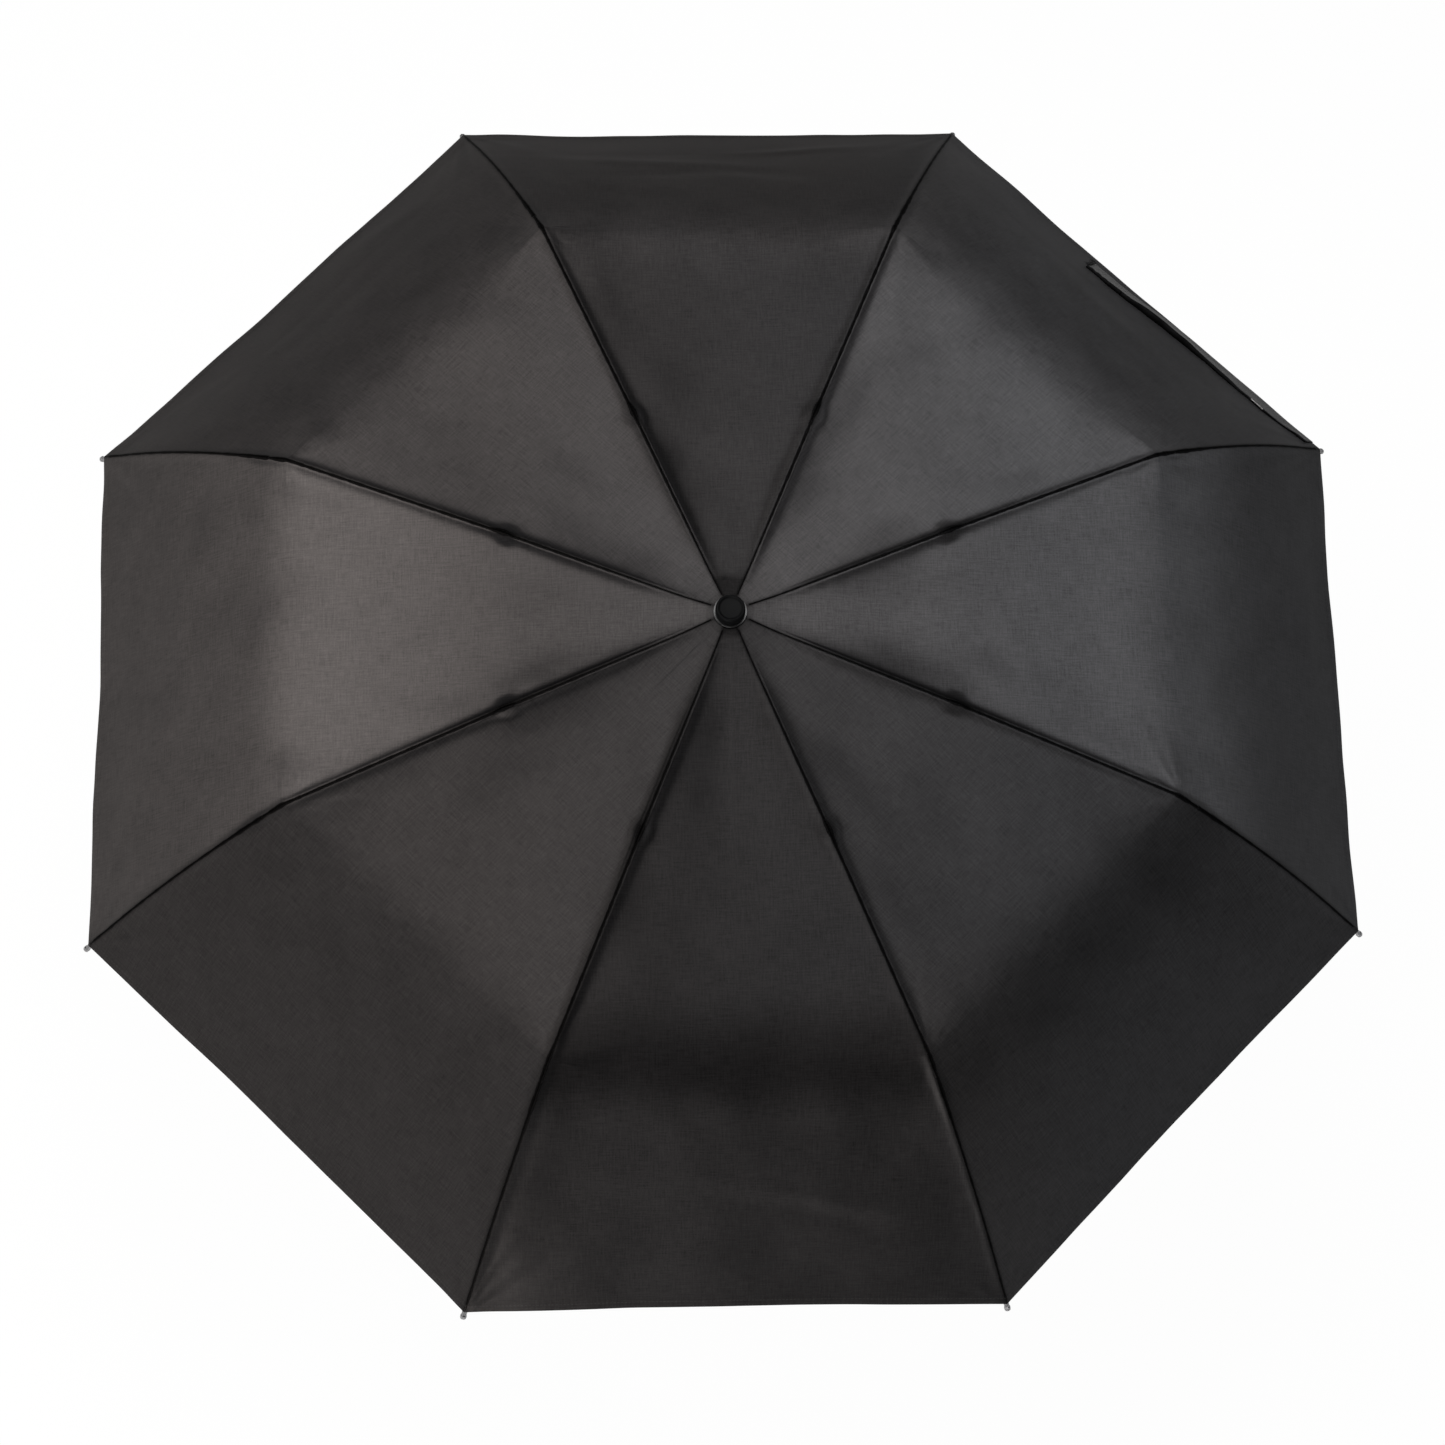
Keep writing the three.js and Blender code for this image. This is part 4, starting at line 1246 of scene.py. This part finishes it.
# ------------------------------------------------------------------ closure strap
# It lies on the rim of gore 0, sewn down near rib 1, its free end loose towards rib 2.
# Places on it are distances along the hem from rib 1's corner, and up the slope from the hem.
HALF_HEM = at(RIB_R, S_HEM) * SIN_HALF
STRAP_START, STRAP_END = 7.0, 218.0
# Over the band: (share of its width, height, brightness); the brightness drops as painted shade at the lifted edge
STRAP_TOP = [
    (0.0, 0.30, 1.0), (0.03, 0.62, 1.0), (0.15, 0.80, 1.0), (0.3, 0.84, 1.0),
    (0.45, 0.86, 1.0), (0.6, 0.88, 1.0), (0.75, 0.9, 1.0), (0.86, 0.92, 1.0),
    (0.94, 0.9, 0.9), (0.985, 0.72, 0.5), (1.0, 0.45, 0.15)]
# The fold under the lifted edge: (share of its reach, share of the lift, brightness); near black, as painted shadow
# under the lifted edge
STRAP_FOLD = [(0.35, 0.55, 0.05), (0.75, 0.25, 0.04), (1.0, 0.16, 0.04)]
# Back under the band: (share of its width, brightness); near black, as painted shade under the band
STRAP_UNDER = [(1.0, 0.06), (0.8, 0.05), (0.5, 0.05), (0.2, 0.05), (0.0, 0.05)]


def hem_point(distance, up_slope, lift):
    """A point over the cloth near gore 0's hem, and the cloth's normal there."""
    share = distance / (2 * HALF_HEM)
    rib, side, t = (0, 1, 2 * share) if share <= 0.5 else (1, -1, 2 * (1 - share))
    points, normals = sheet(rib, side, np.array([S_HEM - up_slope]), np.array([t]))
    return points[0] + normals[0] * lift, normals[0]


def strap_lie(distance):
    """The strap's lower edge, its width up the slope, and how far its upper edge is lifted."""
    width = (21.5 - 9.0 * (1 - smooth(0, 40, distance - 6)) + 0.45 * np.sin(distance * 0.11)
             + 0.35 * np.sin(distance * 0.29 + 1))
    edge = 0.3 + 12.5 * smooth(105, 218, distance)
    lift = (0.35 + 2.6 * bell(distance - 145, 40) + 0.8 * smooth(30, 90, distance)
            + 0.25 * np.sin(distance * 0.17))
    return edge, width, lift


def strap_part(name, start, end, steps):
    """A doubled band along the hem, its upper edge lifted off the cloth."""
    distance = np.linspace(start, end, steps + 1)
    edge, width, lift = strap_lie(distance)
    lines, uvs, brightness, hem = [], [], [], []

    def add(across, rise, tone, hem_distance):
        lines.append(np.array([hem_point(*place)[0]
                               for place in zip(distance, edge + across, rise)]))
        uvs.append(cloth_uv(distance, across))
        brightness.append(np.full_like(distance, tone))
        hem.append(hem_distance)

    no_hem = np.full_like(distance, NO_HEM)
    frill = 0.25 * np.sin(distance * 0.95) * smooth(188, 206, distance)
    for share, rise, tone in STRAP_TOP:
        add(share * width, 0.30 + rise + lift * share ** 2.0 + frill * share, tone * 1.15,
            3.2 + np.minimum(share, 1 - share) * width)
    reach = 0.25 + 0.55 * lift
    for share, lifted, tone in STRAP_FOLD:
        add(width + reach * share, 0.12 + lift * lifted * (1 - share) + 0.04, tone, no_hem)
    for share, tone in STRAP_UNDER:
        add(share * width, np.full_like(distance, 0.13), tone, no_hem)
    rings = np.stack(lines, 1)
    rows, sides = rings.shape[:2]
    faces = tube_faces(rows, sides)
    for base in (0, (rows - 1) * sides):
        faces.append(tuple(base + c for c in range(sides)))
    ob = new_mesh(name, rings.reshape(-1, 3), faces, uvs=np.stack(uvs, 1).reshape(-1, 2),
                  cloth=(np.stack(brightness, 1).ravel(), np.stack(hem, 1).ravel()))
    fix_normals(ob)
    return ob


def strap_motion(rib, side):
    """The strap moves with the outer band of cloth under it."""
    return {"body": f"outer_rib_{rib + 1}",
            "squash": (in_rib(OUTER_AXIS, rib, side), rib_point(OUT_START, rib), OUTER_KEEP)}


put(strap_part("strap_sewn_end", STRAP_START, HALF_HEM, steps=130), STRAP, "strap_cloth",
    replaces="closure_strap", **strap_motion(0, 1))
put(strap_part("strap_free_end", HALF_HEM, STRAP_END, steps=44), STRAP, "strap_cloth",
    replaces="closure_strap", **strap_motion(1, -1))

# Across the label: (share of its width, share of its thickness)
LABEL_SECTION = [(-.5, -.5), (-.5, .5), (-.2, .62), (.2, .62), (.5, .5), (.5, -.5)]
LABEL_WIDTH, LABEL_THICKNESS = 1.3, 0.35


def label():
    """A thin pale band on the strap's lifted edge."""
    points = []
    stations = np.linspace(44, 56, 12)
    for distance, edge, width, lift in zip(stations, *strap_lie(stations)):
        place, normal = hem_point(distance, edge + width, 0)
        below, _ = hem_point(distance, 4.0, 0)
        across = place - below
        across -= normal * across.dot(normal)
        across /= np.linalg.norm(across)
        centre = place + normal * (1.0 + lift) + across * 0.15
        points += [centre + across * wide * LABEL_WIDTH + normal * thick * LABEL_THICKNESS
                   for wide, thick in LABEL_SECTION]
    sides = len(LABEL_SECTION)
    last = len(points) - sides
    faces = tube_faces(len(stations), sides)
    faces.append(tuple(range(sides)))
    faces.append(tuple(last + c for c in range(sides))[::-1])
    ob = new_mesh("strap_label", points, faces, is_smooth=False)
    fix_normals(ob)
    return ob


put(label(), label_material(), "strap_cloth", **strap_motion(0, 1))


def threads():
    """Frayed threads at the strap's free end."""
    fray = np.random.default_rng(5)
    root = STRAP_END - 1.0
    points, faces = [], []
    for k in range(16):
        up_slope = 13.2 + 20.5 * k / 15
        length = fray.uniform(1.5, 5.5)
        base, normal = hem_point(root, up_slope, 1.6)
        ahead, _ = hem_point(root + 3, up_slope, 1.6)
        along = (ahead - base) / np.linalg.norm(ahead - base)
        sideways = np.cross(normal, along)
        bend = fray.uniform(-0.5, 0.5)
        start = len(points)
        for j in range(5):
            share = j / 4
            centre = (base + along * (length * share - 0.6)
                      + sideways * bend * length * share * share
                      + normal * (0.7 * sin(share * 2.5) * fray.uniform(0.6, 1.2)))
            for quarter in range(4):
                angle = quarter * pi / 2
                spoke = normal * cos(angle) + sideways * sin(angle)
                points.append(centre + spoke * 0.22 * (1 - 0.4 * share))
        faces += tube_faces(5, 4, start)
        faces.append(tuple(start + k for k in (3, 2, 1, 0)))
        faces.append(tuple(start + 16 + k for k in range(4)))
    count = len(points)
    ob = new_mesh("strap_threads", points, faces,
                  uvs=np.array([[point[0] * .01, point[2] * .01] for point in points]),
                  cloth=(np.full(count, 0.6), np.full(count, NO_HEM)))
    fix_normals(ob)
    return ob


put(threads(), STRAP, "strap_cloth", **strap_motion(1, -1))

# ------------------------------------------------------------------ shading of the CAD parts
for part in NODES.values():
    if part.hide_render:
        continue
    for polygon in part.data.polygons:
        polygon.use_smooth = True
    # guards against the operator failing to run here: the part is then shaded flat
    try:
        with bpy.context.temp_override(object=part, active_object=part, selected_objects=[part],
                                       selected_editable_objects=[part]):
            bpy.ops.object.shade_auto_smooth(angle=radians(40))
    except Exception:
        for polygon in part.data.polygons:
            polygon.use_smooth = False

# ------------------------------------------------------------------ floor
scene = bpy.context.scene
FLOOR_SIZE = 40
FLOOR_GAP = 0.003                       # metres below the lowest CAD part


def floor_material():
    """White floor, glowing more as the camera sees it than as it lights the umbrella."""
    mat = Material("floor")
    fine = mat.noise(mat.object_place(), 300.0, 3.0, 0.5)
    mat.set(mat.bsdf, {
        "Base Color": mat.mix(fine, (0.86, 0.86, 0.86, 1), (0.90, 0.90, 0.90, 1)),
        "Roughness": 0.9,
        "Specular IOR Level": 0.1})
    glow = mat.value("Emission", {"Color": (1, 1, 1, 1), "Strength": 1.04})
    seen = mat.value("LightPath", output="Is Camera Ray")
    lit = mat.value("MixShader", {0: seen * 0.81 + 0.12, 1: mat.surface, 2: glow})
    # from underneath the floor is clear, so that the umbrella can be looked at from below
    underneath = mat.value("NewGeometry", output="Backfacing")
    clear = mat.value("BsdfTransparent")
    mat.set(mat.out, {0: mat.value("MixShader", {0: underneath, 1: lit, 2: clear})})
    return mat.material


bpy.ops.mesh.primitive_plane_add(size=1)
floor = bpy.context.object
floor.name = "floor"
floor.location = (0, 0, cad_box[0].z - FLOOR_GAP)
floor.scale = (FLOOR_SIZE, FLOOR_SIZE, 1)
floor.data.materials.append(floor_material())
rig.stage(floor)


# ------------------------------------------------------------------ world
def build_world(light_level, backdrop, backdrop_level):
    """A faint even light, with a pale backdrop that only the camera sees."""
    world = bpy.data.worlds.new("studio")
    scene.world = world
    world.use_nodes = True
    nodes = Nodes(world.node_tree)
    out = nodes.add("OutputWorld")
    light = nodes.value("Background", {0: (1, 1, 1, 1), 1: light_level})
    pale = nodes.value("Background", {0: backdrop, 1: backdrop_level})
    seen = nodes.value("LightPath", output="Is Camera Ray")
    nodes.set(out, {0: nodes.value("MixShader", {0: seen, 1: light, 2: pale})})


build_world(light_level=0.02, backdrop=(0.98, 0.98, 0.985, 1), backdrop_level=0.95)

# ------------------------------------------------------------------ lights, in metres and watts
LIGHT_TARGET = Vector((0, 0, 0.5))
LIGHT_DISTANCE = 2.6
LIGHT_SIZE = 0.9
# Name, direction from the target, power, colour
LIGHTS = [
    ("soft_top", (0.0, 0.34, 0.94), 17.0, (1.0, 1.0, 1.0)),
    ("soft_left_high", (-0.52, 0.38, 0.77), 6.2, (1.0, 0.97, 0.94)),
    ("soft_left_top", (-0.30, 0.17, 0.94), 4.1, (1.0, 0.97, 0.94)),
    ("soft_left", (-0.84, 0.22, 0.50), 6.8, (1.0, 0.97, 0.94)),
    ("soft_right", (0.84, 0.22, 0.50), 4.4, (0.95, 0.975, 1.0)),
    ("soft_front", (-0.30, -0.93, 0.21), 26.0, (1.0, 0.985, 0.97)),
    ("soft_front_left", (-0.79, -0.57, 0.21), 4.0, (1.0, 0.98, 0.96)),
    ("soft_front_right", (0.80, -0.55, 0.22), 1.6, (0.97, 0.985, 1.0)),
]


def softbox(name, direction, power, colour):
    light = bpy.data.lights.new(name, "AREA")
    light.shape = "RECTANGLE"
    light.size = light.size_y = LIGHT_SIZE
    light.energy = power
    light.color = colour
    ob = bpy.data.objects.new(name, light)
    scene.collection.objects.link(ob)
    towards = Vector(direction).normalized()
    ob.location = LIGHT_TARGET + towards * LIGHT_DISTANCE
    ob.rotation_mode = "QUATERNION"
    ob.rotation_quaternion = towards.to_track_quat("Z", "Y")
    ob.visible_camera = False


for row in LIGHTS:
    softbox(*row)


# ------------------------------------------------------------------ camera
def build_camera(target, distance, elevation, azimuth, roll, lens, shift):
    """Looks at target from above the near side. Angles in degrees, lengths in metres."""
    elevation, azimuth, roll = radians(elevation), radians(azimuth), radians(roll)
    back = Vector((sin(azimuth) * cos(elevation), -cos(azimuth) * cos(elevation), sin(elevation)))
    right = Vector((cos(azimuth), sin(azimuth), 0))
    up = back.cross(right)
    rolled_right = right * cos(roll) + up * sin(roll)
    rolled_up = up * cos(roll) - right * sin(roll)
    data = bpy.data.cameras.new("camera")
    camera = bpy.data.objects.new("camera", data)
    scene.collection.objects.link(camera)
    camera.rotation_mode = "QUATERNION"
    camera.location = Vector(target) + back * distance
    axes = Matrix((rolled_right, rolled_up, back))
    camera.rotation_quaternion = axes.transposed().to_quaternion()
    data.lens, data.sensor_width = lens, 36.0
    data.shift_x, data.shift_y = shift
    data.clip_start, data.clip_end = 0.05, 60
    scene.camera = camera


build_camera(target=(0, 0, 0.3755), distance=2.8385, elevation=70.206, azimuth=-7.125,
             roll=6.199, lens=98.84, shift=(0.0007, -0.02126))

scene.view_settings.view_transform = "Standard"
scene.view_settings.look = "None"
scene.view_settings.exposure = 0.0
scene.view_settings.gamma = 1.0

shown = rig.bounds()
with open("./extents.json", "w") as f:
    json.dump({"cad": [list(cad_box[0]), list(cad_box[1])],
               "visual": [list(shown[0]), list(shown[1])]}, f)
